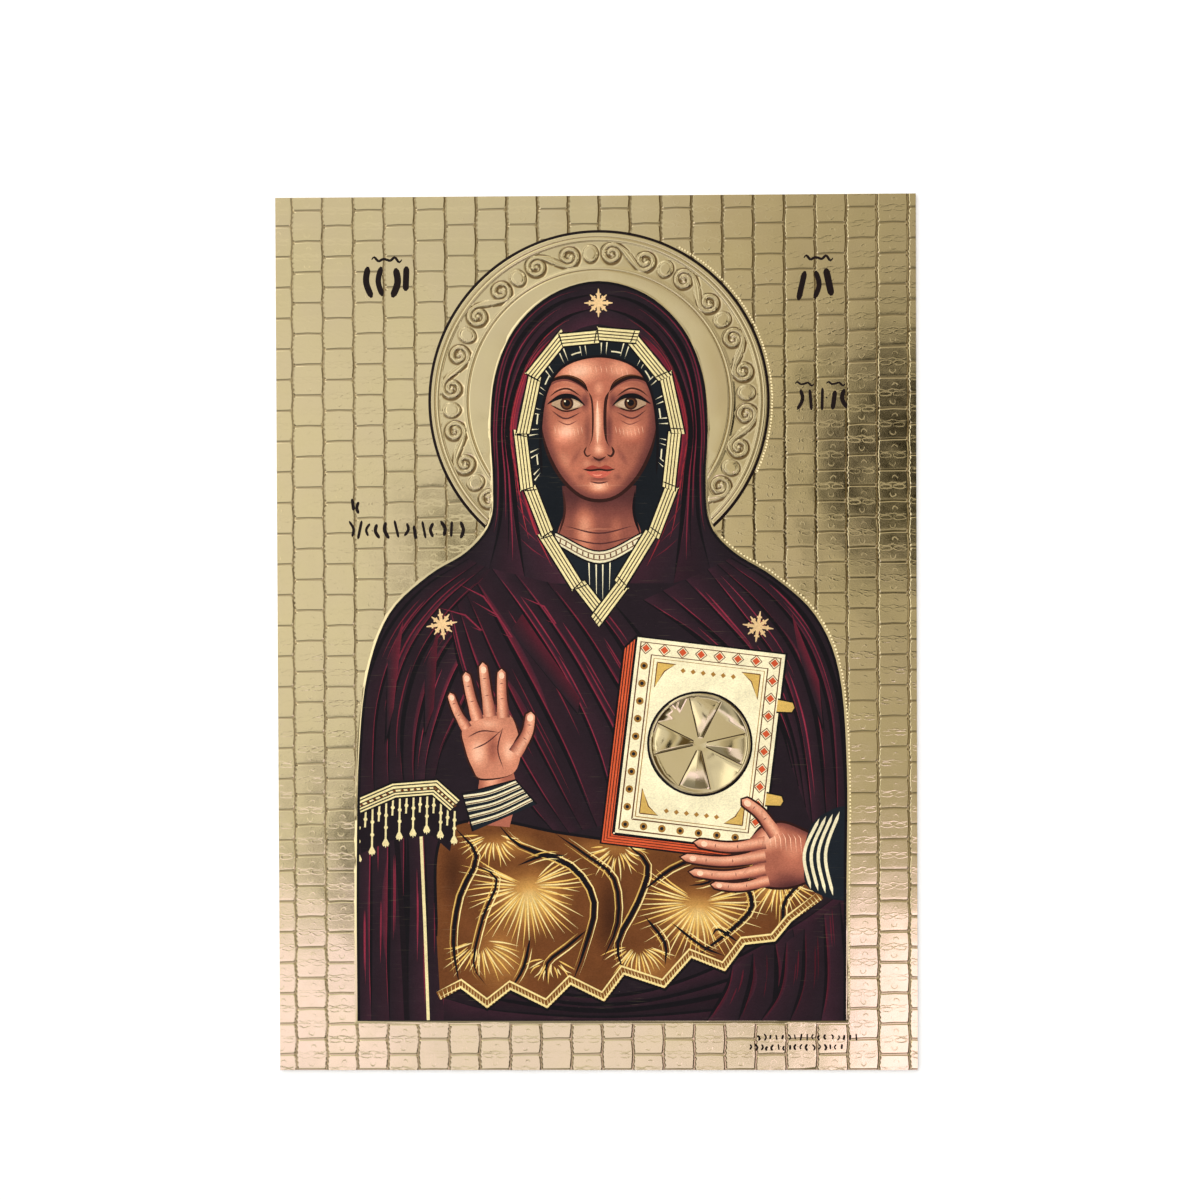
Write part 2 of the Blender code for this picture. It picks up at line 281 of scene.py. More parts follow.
def area_of(outline):
    x, y = np.asarray(outline).T
    return (x * np.roll(y, -1) - y * np.roll(x, -1)).sum() / 2


def ease(value, low, high):
    """0 below low, 1 above high, and a smooth rise between."""
    share = np.clip((value - low) / (high - low), 0, 1)
    return share * share * (3 - 2 * share)


def figure_outline():
    shares = np.array([*RIGHT_SIDE, VEIL_TOP, *LEFT_SIDE])
    widest = max(x for x, _ in RIGHT_SIDE) - min(x for x, _ in LEFT_SIDE)
    x = FIGURE_AXIS + shares[:, 0] * 2 * FIGURE_HALF_WIDTH / widest
    return smooth(np.column_stack([x, FIGURE_FOOT + shares[:, 1] * FIGURE_HEIGHT]), 5)


FIGURE = figure_outline()
FIGURE_RIM = looped(FIGURE)
SHOULDER = 0.9


# Meshes

def new_piece(name, points, faces, materials, slots=None):
    """A mesh object from points in millimetres, linked to the scene."""
    mesh = bpy.data.meshes.new(name)
    mesh.from_pydata((np.asarray(points) * MM).tolist(), [], [list(map(int, face)) for face in faces])
    if slots is not None:
        mesh.polygons.foreach_set("material_index", np.asarray(slots, np.int32))
    piece = bpy.data.objects.new(name, mesh)
    bpy.context.scene.collection.objects.link(piece)
    for material in materials:
        mesh.materials.append(material)
    mesh.validate()
    return piece


def smooth_but_rims(piece, degrees=50):
    """Shades a piece smooth, but for edges sharper than an angle."""
    bpy.ops.object.select_all(action="DESELECT")
    piece.select_set(True)
    bpy.context.view_layer.objects.active = piece
    bpy.ops.object.shade_smooth_by_angle(angle=math.radians(degrees))


def grid_faces(rows, columns):
    index = np.arange(rows * columns).reshape(rows, columns)
    corners = (index[:-1, :-1], index[:-1, 1:], index[1:, 1:], index[1:, :-1])
    return np.stack(corners, axis=-1).reshape(-1, 4)


def walls_down(shape, edges, level):
    """Walls from open edges down to a level. Returns the walls, and the edges at their foot."""
    made = bmesh.ops.extrude_edge_only(shape, edges=edges)["geom"]
    for vert in (part for part in made if isinstance(part, bmesh.types.BMVert)):
        vert.co.z = level * MM
    kinds = (bmesh.types.BMFace, bmesh.types.BMEdge)
    return [[part for part in made if isinstance(part, kind)] for kind in kinds]


def finish_shape(shape, piece):
    bmesh.ops.recalc_face_normals(shape, faces=shape.faces[:])
    shape.to_mesh(piece.data)
    shape.free()


def close_below(piece, floor, slot):
    """Gives an open relief its walls and a flat underside at the floor's height."""
    shape = bmesh.new()
    shape.from_mesh(piece.data)
    walls, _ = walls_down(shape, [edge for edge in shape.edges if edge.is_boundary], floor)
    lower = [edge for edge in shape.edges if edge.is_boundary]
    for face in walls + bmesh.ops.contextual_create(shape, geom=lower)["faces"]:
        face.material_index = slot
    finish_shape(shape, piece)


def dress(piece):
    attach(piece, "root")
    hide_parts("embossed_panel")
    return piece


# Material nodes

class Nodes:
    """A short hand for building a tree of shader nodes."""

    def __init__(self, tree):
        self.tree = tree

    def add(self, kind, **values):
        node = self.tree.nodes.new(kind)
        for key, value in values.items():
            setattr(node, key, value)
        return node

    def join(self, source, target):
        if hasattr(source, "is_output"):
            self.tree.links.new(source, target)
        else:
            target.default_value = source

    def math(self, operation, first, second=0.0, clamp=False):
        node = self.add("ShaderNodeMath", operation=operation, use_clamp=clamp)
        self.join(first, node.inputs[0])
        self.join(second, node.inputs[1])
        return node.outputs[0]

    def noise(self, scale, stretch=(1, 1, 1), detail=3.0, roughness=0.55, shift=(0, 0, 0), twist=0.0):
        """Noise whose grains are so many to a millimetre, before they are stretched."""
        mapping = self.add("ShaderNodeMapping")
        mapping.inputs["Scale"].default_value = [scale / MM / part for part in stretch]
        mapping.inputs["Location"].default_value = shift
        self.join(self.spot, mapping.inputs["Vector"])
        node = self.add("ShaderNodeTexNoise")
        node.inputs["Scale"].default_value = 1.0
        node.inputs["Detail"].default_value = detail
        node.inputs["Roughness"].default_value = roughness
        node.inputs["Distortion"].default_value = twist
        self.join(mapping.outputs[0], node.inputs["Vector"])
        return node.outputs["Fac"]

    def between(self, value, low, high, to_low=0.0, to_high=1.0):
        node = self.add("ShaderNodeMapRange")
        self.join(value, node.inputs["Value"])
        for name, number in zip(("From Min", "From Max", "To Min", "To Max"), (low, high, to_low, to_high)):
            node.inputs[name].default_value = number
        return node.outputs[0]

    def mix(self, share, first, second, blend="MIX"):
        node = self.add("ShaderNodeMix", data_type="RGBA", blend_type=blend)
        self.join(share, node.inputs["Factor"])
        for value, socket in ((first, node.inputs["A"]), (second, node.inputs["B"])):
            if hasattr(value, "is_output"):
                self.join(value, socket)
            else:
                socket.default_value = (*value, 1)
        return node.outputs["Result"]

    def bump(self, height, distance, under=None):
        """A bump whose height is in millimetres."""
        node = self.add("ShaderNodeBump")
        node.inputs["Strength"].default_value = 1.0
        node.inputs["Distance"].default_value = distance * MM
        self.join(height, node.inputs["Height"])
        if under is not None:
            self.join(under, node.inputs["Normal"])
        return node.outputs[0]

    def ramp(self, value, stops):
        """Colours by a value from 0 to 1. They may be up to twice as bright as white."""
        node = self.add("ShaderNodeValToRGB")
        self.join(value, node.inputs[0])
        elements = node.color_ramp.elements
        while len(elements) < len(stops):
            elements.new(0.5)
        for element, (place, colour) in zip(elements, stops):
            element.position = place
            element.color = (*(np.ones(3) * colour / 2), 1)
        return self.mix(1.0, node.outputs[0], (2, 2, 2), "MULTIPLY")


class Finish(Nodes):
    """The nodes of one material."""

    def __init__(self, name):
        self.material = bpy.data.materials.new(name)
        self.material.use_nodes = True
        super().__init__(self.material.node_tree)
        self.shader = self.tree.nodes["Principled BSDF"]
        self.spot = self.add("ShaderNodeTexCoord").outputs["Object"]

    def set(self, **values):
        for name, value in values.items():
            socket = self.shader.inputs[name.replace("_", " ")]
            if isinstance(value, np.ndarray):
                socket.default_value = (*value, 1)
            else:
                self.join(value, socket)
        return self.material


def foil_finish(name, crease_shade_level, motif=False):
    """Bright pale gold foil with shallow waves, faint curls and painted shade low in its creases."""
    make = Finish(name)
    waves = make.noise(0.035, detail=2.0)
    curls = make.noise(1.1, detail=3.0, roughness=0.62, twist=1.2)
    grain = make.noise(3.2, (1.4, 1, 1), detail=2.0, shift=(3, 1, 0))
    tone = make.mix(make.between(grain, 0.3, 0.7), FOIL * 0.98, FOIL * 1.02)
    tone = make.mix(
        make.between(make.noise(0.06, shift=(5, 2, 0)), 0.35, 0.7), tone, FOIL * (0.99, 0.98, 1.04),
    )
    height = make.add("ShaderNodeSeparateXYZ")
    make.join(make.spot, height.inputs[0])
    # Painted shade: where the foil lies low, in its creases and hollows, its colour is darkened to brown
    low = make.between(height.outputs["Z"], (crease_shade_level - 0.05) * MM, (crease_shade_level + 0.02) * MM, 0.88, 0.0)
    tone = make.mix(low, tone, srgb(104, 76, 34))
    normal = make.bump(waves, 0.2)
    normal = make.bump(curls, 0.004, normal)
    normal = make.bump(grain, 0.0028, normal)
    if motif:
        normal = make.bump(tile_motif(make), 0.0105, normal)
    roughness = make.between(make.noise(0.3, detail=4.0), 0.3, 0.75, 0.085, 0.13)
    return make.set(Base_Color=tone, Metallic=1.0, Roughness=roughness, Normal=normal)


def tile_motif(make):
    """Height from 0 to 1 of the faint curls pressed into every tile: two long rings, a bar and two hooks."""
    place = make.add("ShaderNodeSeparateXYZ")
    make.join(make.spot, place.inputs[0])
    wander = make.between(make.noise(0.7, detail=2.0, shift=(6, 1, 0)), 0.3, 0.7, -0.16, 0.16)
    drift = make.between(make.noise(0.7, detail=2.0, shift=(1, 8, 0)), 0.3, 0.7, -0.14, 0.14)

    def steps(value, first, pitch, flip):
        scaled = make.math("MULTIPLY_ADD", value, flip / MM / pitch)
        scaled.node.inputs[2].default_value = -flip * first / pitch
        whole = make.math("FLOOR", scaled)
        rest = make.math("SUBTRACT", scaled, whole)
        return whole, make.math("MULTIPLY", make.math("SUBTRACT", rest, 0.5), pitch * flip)

    column, across_tile = steps(place.outputs["X"], FIRST_SEAM_X, TILE, 1)
    odd = make.math("FLOORED_MODULO", column, 2.0)
    lowered = make.math("MULTIPLY_ADD", odd, TILE / 2 * MM)
    make.join(place.outputs["Y"], lowered.node.inputs[2])
    _, up_tile = steps(lowered, FIRST_SEAM_Y, TILE, -1)
    u, v = make.math("ADD", across_tile, wander), make.math("ADD", up_tile, drift)

    def ring(u, v, x, y, wide, high):
        a = make.math("DIVIDE", make.math("SUBTRACT", u, x), wide)
        b = make.math("DIVIDE", make.math("SUBTRACT", v, y), high)
        away = make.math("SQRT", make.math("ADD", make.math("POWER", a, 2.0), make.math("POWER", b, 2.0)))
        off = make.math("MULTIPLY", make.math("ABSOLUTE", make.math("SUBTRACT", away, 1.0)), min(wide, high))
        return make.between(off, 0.02, 0.17, 1.0, 0.0)

    rings = ring(make.math("ABSOLUTE", u), v, 2.05, -0.25, 1.75, 0.62)
    lower = make.math("MULTIPLY", ring(u, v, 0.0, -2.4, 0.8, 0.85), make.between(v, -2.5, -2.0, 1.0, 0.0))
    upper = make.math("MULTIPLY", ring(u, v, 0.6, 2.2, 0.75, 0.8), make.between(v, 2.0, 2.5, 0.0, 1.0))
    wavy = make.math("MULTIPLY", make.math("COSINE", make.math("MULTIPLY", u, 1.45)), 0.18)
    off_bar = make.math("ABSOLUTE", make.math("SUBTRACT", v, make.math("ADD", wavy, 0.85)))
    bar = make.between(off_bar, 0.02, 0.24, 1.0, 0.0)
    bar = make.math("MULTIPLY", bar, make.between(make.math("ABSOLUTE", u), 3.7, 4.0, 1.0, 0.0))
    hooks = make.math("MAXIMUM", lower, upper)
    motif = make.math("MAXIMUM", make.math("MAXIMUM", rings, bar), hooks)
    depth = make.between(make.noise(0.11, detail=2.0, shift=(2, 2, 0)), 0.32, 0.66, 0.25, 1.0)
    return make.math("MULTIPLY", motif, depth)


def print_finish(name, metallic, roughness):
    """Printing ink over the foil, scratched along the sheet's width and flecked where it is gone."""
    make = Finish(name)
    paint = make.add("ShaderNodeAttribute", attribute_name="paint").outputs["Color"]
    weave = make.between(make.noise(3.4, (1.5, 1, 1), detail=2.0), 0.3, 0.7, 0.86, 1.15)
    cloud = make.between(make.noise(0.14, detail=4.0), 0.3, 0.72, 0.88, 1.12)
    tone = make.mix(1.0, paint, make.math("MULTIPLY", weave, cloud), "MULTIPLY")
    patchy = make.between(make.noise(0.03, (1.6, 1, 1), detail=2.0, shift=(1, 4, 0)), 0.42, 0.66)
    scratch = make.between(make.noise(5.0, (40, 1, 1), detail=2.0, shift=(2, 7, 0)), 0.66, 0.76)
    scratch = make.math("MULTIPLY", scratch, make.between(patchy, 0.0, 1.0, 0.0, 0.24))
    fleck = make.between(make.noise(2.2, (1.2, 1, 1), detail=2.0, shift=(9, 3, 0)), 0.765, 0.80)
    fleck = make.math("MULTIPLY", fleck, make.between(patchy, 0.2, 1.0, 0.15, 0.9))
    worn = make.math("MAXIMUM", scratch, fleck, clamp=True)
    tone = make.mix(worn, tone, FOIL * 0.62)
    metal = make.math("MAXIMUM", make.math("MULTIPLY", worn, 0.75), metallic)
    normal = make.bump(make.noise(3.0, (1.5, 1, 1), detail=3.0), 0.006)
    rough = make.between(make.noise(0.6, detail=3.0), 0.3, 0.7, roughness - 0.05, roughness + 0.07)
    return make.set(Base_Color=tone, Metallic=metal, Roughness=rough, Normal=normal, Specular_IOR_Level=0.12)


def card_finish():
    make = Finish("plain_card")
    fibre = make.noise(1.8, (3, 1, 1), detail=5.0)
    cloud = make.noise(0.06, detail=3.0, shift=(4, 4, 0))
    tone = make.mix(make.between(fibre, 0.3, 0.7), srgb(206, 199, 183), srgb(226, 220, 205))
    tone = make.mix(make.between(cloud, 0.35, 0.7, 0.0, 0.35), tone, srgb(196, 186, 166))
    return make.set(Base_Color=tone, Roughness=0.85, Normal=make.bump(fibre, 0.03))


def stroke_finish():
    make = Finish("stroke_ink")
    grain = make.noise(2.0, detail=3.0)
    tone = make.mix(make.between(grain, 0.3, 0.75), srgb(14, 4, 3), srgb(26, 13, 9))
    return make.set(Base_Color=tone, Roughness=0.4, Specular_IOR_Level=0.15, Normal=make.bump(grain, 0.01))


# The number is the height below which each foil gets painted shade in its creases
GOLD_FOIL = foil_finish("gold_foil", 1.11, motif=True)
HALO_FOIL = foil_finish("halo_foil", 1.12)
PRINT_INK = print_finish("print_ink", 0.0, 0.42)
GILT_INK = print_finish("gilt_ink", 0.45, 0.34)
CARD = card_finish()
STROKE_INK = stroke_finish()


# The sheet with its tile ground

def seam_lines(first, pitch, offsets, low, high):
    """Grid line places: the offsets to both sides of every seam, and the sheet's own edges."""
    count = math.ceil((high - low) / pitch) + 2
    seams = first + pitch * np.arange(-count, count + 1)
    around = np.array([*offsets, pitch / 2, *(-np.array(offsets))])
    places = (seams[:, None] + around[None, :]).ravel()
    places = places[(places > low + 0.1) & (places < high - 0.1)]
    return np.unique(np.round(np.concatenate([[low], places, [high]]), 4))


def tile_places(x, y):
    """For spots on the ground: signed distances to the nearest seams, and their tile's number."""
    column = np.floor((x - FIRST_SEAM_X) / TILE)
    from_side = x - FIRST_SEAM_X - np.round((x - FIRST_SEAM_X) / TILE) * TILE
    row_start = FIRST_SEAM_Y - (column % 2) * TILE / 2
    row = np.floor((row_start - y) / TILE)
    from_row = row_start - y - np.round((row_start - y) / TILE) * TILE
    return from_side, -from_row, column, row


def ground_height(x, y):
    from_side, from_row, column, row = tile_places(x, y)
    upright = np.interp(from_side, *np.array(UPRIGHT_SEAM).T)
    level = np.interp(from_row, *np.array(LEVEL_SEAM).T)
    sunk = np.maximum(level, upright)
    half = TILE / 2
    mid_x = x - FIRST_SEAM_X - (column + 0.5) * TILE
    mid_y = y - (FIRST_SEAM_Y - (column % 2) * half - (row + 0.5) * TILE)
    crown = TILE_CROWN * (1 - (mid_x / half) ** 2) * (1 - (mid_y / half) ** 2)
    shuffle = np.random.default_rng(7).uniform(-1, 1, (2, 64, 64))
    column, row = column.astype(int) % 64, row.astype(int) % 64
    tilt = TILE_TILT * (shuffle[0, column, row] * mid_x + shuffle[1, column, row] * mid_y)
    return TILE_TOP - sunk + (crown + tilt) * (1 - np.clip(np.abs(sunk) / 0.08, 0, 1))


def seam_wave(x, y):
    """How far the seams wander, and how the tiles' corners are rounded, across and up."""
    from_side, from_row, tile_column, _ = tile_places(x, y)
    column = np.round((x - FIRST_SEAM_X) / TILE)
    turn = np.where(column % 2, -1, 1)
    share = (FIRST_SEAM_Y - y) / (TILE / 2)
    side = turn * SEAM_WAVE * np.cos(math.pi * share)
    scallop = np.sin(TAU * share * 3.03 + 1.3 * column) * (1 + 0.5 * np.sin(share * 2.3 + column))
    side += SEAM_SCALLOP * scallop * np.where(from_side > 0.1, 1.5, 0.3)
    side *= 1 - np.abs(from_side) / (TILE / 2)
    reach, rounding = CORNER
    corner = rounding * np.clip(1 - np.abs(from_row) / reach, 0, 1) ** 2
    side += np.sign(from_side) * corner * np.interp(np.abs(from_side), (0.1, 0.22, 0.95, 2.4), (0, 1, 0.9, 0))
    middle = x - FIRST_SEAM_X - (tile_column + 0.5) * TILE
    bend = TAU * middle / TILE * 1.5 + 0.7 * column + np.floor(share)
    up = 0.08 * np.sin(bend) + 0.16 * np.exp(-((middle / 0.8) ** 2))
    up += 0.18 * ease(middle, 2.4, 4.2)
    up += 0.16 * np.sign(from_row) * np.clip(1 - np.abs(from_side) / reach, 0, 1) ** 2
    up *= np.clip(1 - np.abs(from_row) / 2.0, 0, 1)
    held = ease(HALF_WIDTH - np.abs(x), 0, 1.0) * ease(HALF_HEIGHT - np.abs(y), 0, 1.0)
    return side * held, up * held


def foil_sheet():
    """The whole sheet: a tiled foil face on a plain card body."""
    xs = seam_lines(FIRST_SEAM_X, TILE, ACROSS_SEAM, -HALF_WIDTH, HALF_WIDTH)
    ys = seam_lines(FIRST_SEAM_Y, TILE / 2, ALONG_SEAM, -HALF_HEIGHT, HALF_HEIGHT)
    x, y = (part.ravel() for part in np.meshgrid(xs, ys))
    side, up = seam_wave(x, y)
    points = np.column_stack([x + side, y + up, ground_height(x, y)])
    faces = grid_faces(len(ys), len(xs))
    middles = points[faces, :2].mean(axis=1)
    covered = inside(FIGURE, middles) & (distance_to(FIGURE_RIM, middles) > 2.5)
    covered |= np.hypot(*(middles - HEAD).T) < HALO_RADIUS - 2.5
    faces = faces[~covered]
    used = np.unique(faces)
    renumber = np.zeros(len(points), int)
    renumber[used] = np.arange(len(used))
    sheet = new_piece("foil_sheet", points[used], renumber[faces], [GOLD_FOIL, CARD])
    fill_covered(sheet)
    close_below(sheet, 0.0, 1)
    smooth_but_rims(sheet, 13)
    return dress(sheet)


def fill_covered(sheet):
    """Sinks the opening that the halo and the figure cover, and closes it."""
    shape = bmesh.new()
    shape.from_mesh(sheet.data)
    limit = Vector((HALF_WIDTH - 0.05, HALF_HEIGHT - 0.05)) * MM
    opening = [
        edge
        for edge in shape.edges
        if edge.is_boundary and all(abs(v.co.x) < limit.x and abs(v.co.y) < limit.y for v in edge.verts)
    ]
    _, foot = walls_down(shape, opening, SUNK - 0.05)
    bmesh.ops.contextual_create(shape, geom=foot)
    finish_shape(shape, sheet)


# The halo

def scroll_line():
    """Half an S-scroll from its middle outwards, along and across the band."""
    share = np.linspace(0, 1, 44)
    angle = math.radians(-118) + share * 1.3 * TAU
    radius = SPIRAL_REACH * (1 - 0.66 * share)
    spiral = np.column_stack([SPIRAL_CENTRE + radius * np.cos(angle), radius * np.sin(angle)])
    stem = smooth([(0, 0), (1.5, -1.25), spiral[0], spiral[3]], 6)[:-7]
    return np.vstack([stem, spiral])


def ridge(distance, half_width, slope=0.42):
    """1 on a line and 0 beside it, with a soft shoulder."""
    return 1 - ease(distance, half_width - slope / 2, half_width + slope / 2)


def ornament_height(angle, radius):
    """Height of the S-scrolls and ovals over the band, 0 to 1."""
    module = TAU / ORNAMENTS
    first = math.radians(93.1) + module / 2
    around = (angle - first + module / 2) % module - module / 2
    spots = np.column_stack([-around * BAND_MIDDLE, radius - BAND_MIDDLE])
    flip = np.where(spots[:, :1] < 0, -1.0, 1.0)
    line = scroll_line()
    from_line = distance_to(line, spots * flip)
    lower_right = 0.2 * np.column_stack([np.sin(angle) + np.cos(angle), np.cos(angle) - np.sin(angle)])
    from_crease = distance_to(line, (spots - lower_right) * flip)
    stem = 0.46 + 0.55 * np.clip(1 - np.hypot(*spots.T) / 3.6, 0, 1)
    scroll = ridge(from_line, stem) * (0.7 + 0.3 * ease(from_line, 0.0, 0.24))
    half_module = BAND_MIDDLE * module / 2
    oval_spots = np.column_stack([half_module - np.abs(spots[:, 0]), spots[:, 1]])
    reach = np.hypot(oval_spots[:, 0] / OVAL[0], oval_spots[:, 1] / OVAL[1])
    rim = ease(np.abs(reach - 0.76) * OVAL[0], 0.0, 0.22)
    oval = (1 - ease(reach, 0.90, 1.08)) * (0.72 + 0.28 * rim)
    eye = np.hypot(np.abs(spots[:, 0]) - SPIRAL_CENTRE, spots[:, 1])
    away = oval_spots * np.column_stack([-np.sign(spots[:, 0]), np.ones(len(spots))]) - lower_right
    beyond_oval = (np.hypot(away[:, 0] / OVAL[0], away[:, 1] / OVAL[1]) - 1) * 2.3 + 0.75
    hollow = 0.42 * (1 - ease(np.minimum(from_crease, beyond_oval), 0.9, 1.4))
    return np.maximum.reduce([scroll, oval, 0.8 * ridge(eye, 0.5)]) - hollow * (1 - np.maximum(scroll, oval))


def halo_height(spots):
    radius = np.hypot(*(spots - HEAD).T)
    angle = np.arctan2(*(spots - HEAD).T[::-1])
    knots, levels = np.array(HALO_PROFILE).T
    place = np.clip(np.searchsorted(knots, radius, side="right") - 1, 0, len(knots) - 2)
    share = np.clip((radius - knots[place]) / (knots[place + 1] - knots[place]), 0, 1)
    height = levels[place] + (levels[place + 1] - levels[place]) * ease(share, 0, 1)
    on_band = (radius > ORNAMENT_BAND[0]) & (radius < ORNAMENT_BAND[1])
    height[on_band] += ORNAMENT_RELIEF * ornament_height(angle[on_band], radius[on_band])
    beyond = distance_to(FIGURE_RIM, spots) * np.where(inside(FIGURE, spots), -1, 1)
    fade = ease(beyond, 0.1, 1.0)
    return HALO_FOOT + (height - HALO_FOOT) * fade


def halo_relief():
    """The halo's foil: rims, scrolled band and plain field, ringed by a dark line."""
    band = np.linspace(40.5, 47.3, 40)
    knots = [radius for radius, _ in HALO_PROFILE]
    rims = [33.0, 36.0, 38.2, *knots, 38.81, 38.99, 39.84, 40.02, 47.46, 48.51, 48.69, 49.95]
    radii = np.unique(np.round([*rims, *band], 3))
    angles = np.radians(np.linspace(-62, 242, 880))
    radius, angle = (part.ravel() for part in np.meshgrid(radii, angles))
    spots = HEAD + np.column_stack([radius * np.cos(angle), radius * np.sin(angle)])
    points = np.column_stack([spots, halo_height(spots)])
    faces = grid_faces(len(angles), len(radii))
    dark = radius[faces].min(axis=1) > HALO_RADIUS - HALO_LINE - 0.01
    halo = new_piece("halo_relief", points, faces, [HALO_FOIL, STROKE_INK], dark)
    close_below(halo, SUNK, 1)
    smooth_but_rims(halo)
    return dress(halo)


def bead_rows():
    """Rows of fine pressed dots outside the halo's ring and the figure's right side."""
    turn = np.radians(np.linspace(-24, 62, 84))
    ring = HEAD + (HALO_RADIUS + 0.68) * np.column_stack([np.cos(turn), np.sin(turn)])
    side = shifted(FIGURE[:48], -0.85)
    side = evenly(side[np.hypot(*(side - HEAD).T) > HALO_RADIUS + 2], 150)[2:-1]
    sides = 7
    dot = np.vstack([circle(1.0, sides), circle(0.62, sides), [(0, 0)]])
    rise = np.where(np.arange(2 * sides + 1) < sides, -0.05, 0.1 + dot[:, 0] * 0.125)
    walls = [(i, (i + 1) % sides, sides + (i + 1) % sides, sides + i) for i in range(sides)]
    tops = [(sides + i, sides + (i + 1) % sides, 2 * sides) for i in range(sides)]
    under = [tuple(reversed(range(sides)))]
    dice = np.random.default_rng(5)
    points, faces = [], []
    for spot in np.vstack([ring, side]):
        size = dice.uniform(0.38, 0.52)
        first = len(points)
        place = spot + dice.uniform(-0.06, 0.06, 2)
        level = size / 0.5
        points += [(*(place + flat * size), TILE_TOP + high * level) for flat, high in zip(dot, rise)]
        faces += [tuple(first + corner for corner in face) for face in (*walls, *tops, *under)]
    beads = new_piece("bead_rows", points, faces, [HALO_FOIL])
    smooth_but_rims(beads, 5)
    return dress(beads)


# The printed figure

def plain(colour):
    return lambda spots: np.tile(colour, (len(spots), 1))


def across(left, right, near, far, bend=1.0):
    """A colour that changes from one line to another."""
    def paint(spots):
        a, b = distance_to(left, spots), distance_to(right, spots)
        share = (a / np.maximum(a + b, 1e-9)) ** bend
        return near + (far - near) * share[:, None]
    return paint


def ramp(steps, values):
    places = [place for place, _ in steps]
    colours = np.array([colour for _, colour in steps])
    return np.column_stack([np.interp(values, places, colours[:, k]) for k in range(3)])


def refitted(paint, middle, size):
    """The shading of a part that is drawn at another size about its middle."""
    return lambda spots: paint(middle + (spots - middle) / size)


class Picture:
    """Shapes laid on each other in order, then made one flat mesh where only the topmost shows."""

    def __init__(self, outline, paint, finish):
        self.shapes = []
        self.fit = None
        self.spots = []
        self.patch(outline, paint, finish)

    def patch(self, outline, paint, finish=INK, grain=None):
        """A filled shape. With a grain it gets inner points that far apart, for soft shading."""
        outline = np.asarray(outline, float)
        if self.fit:
            middle, size = self.fit
            outline = middle + (outline - middle) * size
            if callable(paint):
                paint = refitted(paint, middle, size)
        keep = np.hypot(*(outline - np.roll(outline, 1, axis=0)).T) > 0.02
        outline = outline[keep]
        if len(outline) < 3:
            return
        if area_of(outline) < 0:
            outline = outline[::-1]
        self.shapes.append((outline, paint if callable(paint) else plain(paint), finish))
        if grain:
            low, high = outline.min(axis=0), outline.max(axis=0)
            x, y = np.meshgrid(np.arange(low[0], high[0], grain), np.arange(low[1], high[1], grain * 0.87))
            x[1::2] += grain / 2
            net = np.column_stack([x.ravel(), y.ravel()])
            net = net[inside(outline, net)]
            self.spots.append(net[distance_to(looped(outline), net) > grain * 0.4])

    def stroke(self, line, width, paint, finish=INK, ends=(0.35, 0.35), least=0.0):
        """A brush stroke, which thins over a share of its length at each end."""
        line = np.asarray(line, float)
        if len(line) < 2:
            return
        steps = np.concatenate([[0], np.cumsum(np.hypot(*np.diff(line, axis=0).T))])
        share = steps / steps[-1]
        thin = np.ones(len(line))
        if ends[0]:
            thin = np.minimum(thin, share / ends[0])
        if ends[1]:
            thin = np.minimum(thin, (1 - share) / ends[1])
        half = width / 2 * np.maximum(np.sin(np.clip(thin, 0, 1) * math.pi / 2), least)
        side = sideways(line) * half[:, None]
        self.patch(np.vstack([line + side, (line - side)[::-1]]), paint, finish)

    def line(self, points, width, paint, finish=INK):
        """A stroke that keeps its width to both ends."""
        self.stroke(points, width, paint, finish, ends=(0, 0))

    def curve(self, points, width, paint, **look):
        """A stroke along the curve through a few points."""
        self.stroke(smooth(points), width, paint, **look)

    def strip(self, left, right, near, far, bend=1.0):
        """The band between two lines, shaded from one to the other."""
        self.patch(np.vstack([left, np.asarray(right)[::-1]]), across(left, right, near, far, bend))

    def mesh(self):
        """Points, triangles, finishes and corner colours of what shows."""
        points, edges = [], []
        for outline, _, _ in self.shapes:
            first, count = len(points), len(outline)
            edges.extend((first + i, first + (i + 1) % count) for i in range(count))
            points.extend(outline.tolist())
        for spots in self.spots:
            points.extend(spots.tolist())
        found = geometry.delaunay_2d_cdt([Vector(p) for p in points], edges, [], 0, 1e-4)
        places, faces = np.array([tuple(v) for v in found[0]]), np.array([tuple(face) for face in found[2]])
        middles = places[faces].mean(axis=1)
        shown = inside(self.shapes[0][0], middles)
        faces, middles = faces[shown], middles[shown]
        top = np.zeros(len(faces), int)
        for number, (outline, _, _) in enumerate(self.shapes):
            within = (middles > outline.min(axis=0)) & (middles < outline.max(axis=0))
            near = within.all(axis=1).nonzero()[0]
            top[near[inside(outline, middles[near])]] = number
        top[~inside(self.shapes[1][0], middles)] = 0
        colours = np.zeros((len(faces), 3, 3))
        for number in np.unique(top):
            chosen = top == number
            spots = places[faces[chosen].ravel()]
            colours[chosen] = self.shapes[number][1](spots).reshape(-1, 3, 3)
        finishes = np.array([shape[2] for shape in self.shapes])[top]
        return places, faces, finishes, colours


def flesh(values):
    return ramp(FLESH, np.clip(values, 0, 1))


def glow(spots, centre, radii, turn=0.0):
    """1 in the middle of a soft ellipse and 0 beyond its rim."""
    c, s = math.cos(turn), math.sin(turn)
    away = (spots - np.asarray(centre)) @ np.array(((c, -s), (s, c)))
    return 1 - ease(np.hypot(*(away / np.asarray(radii)).T), 0.0, 1.0)


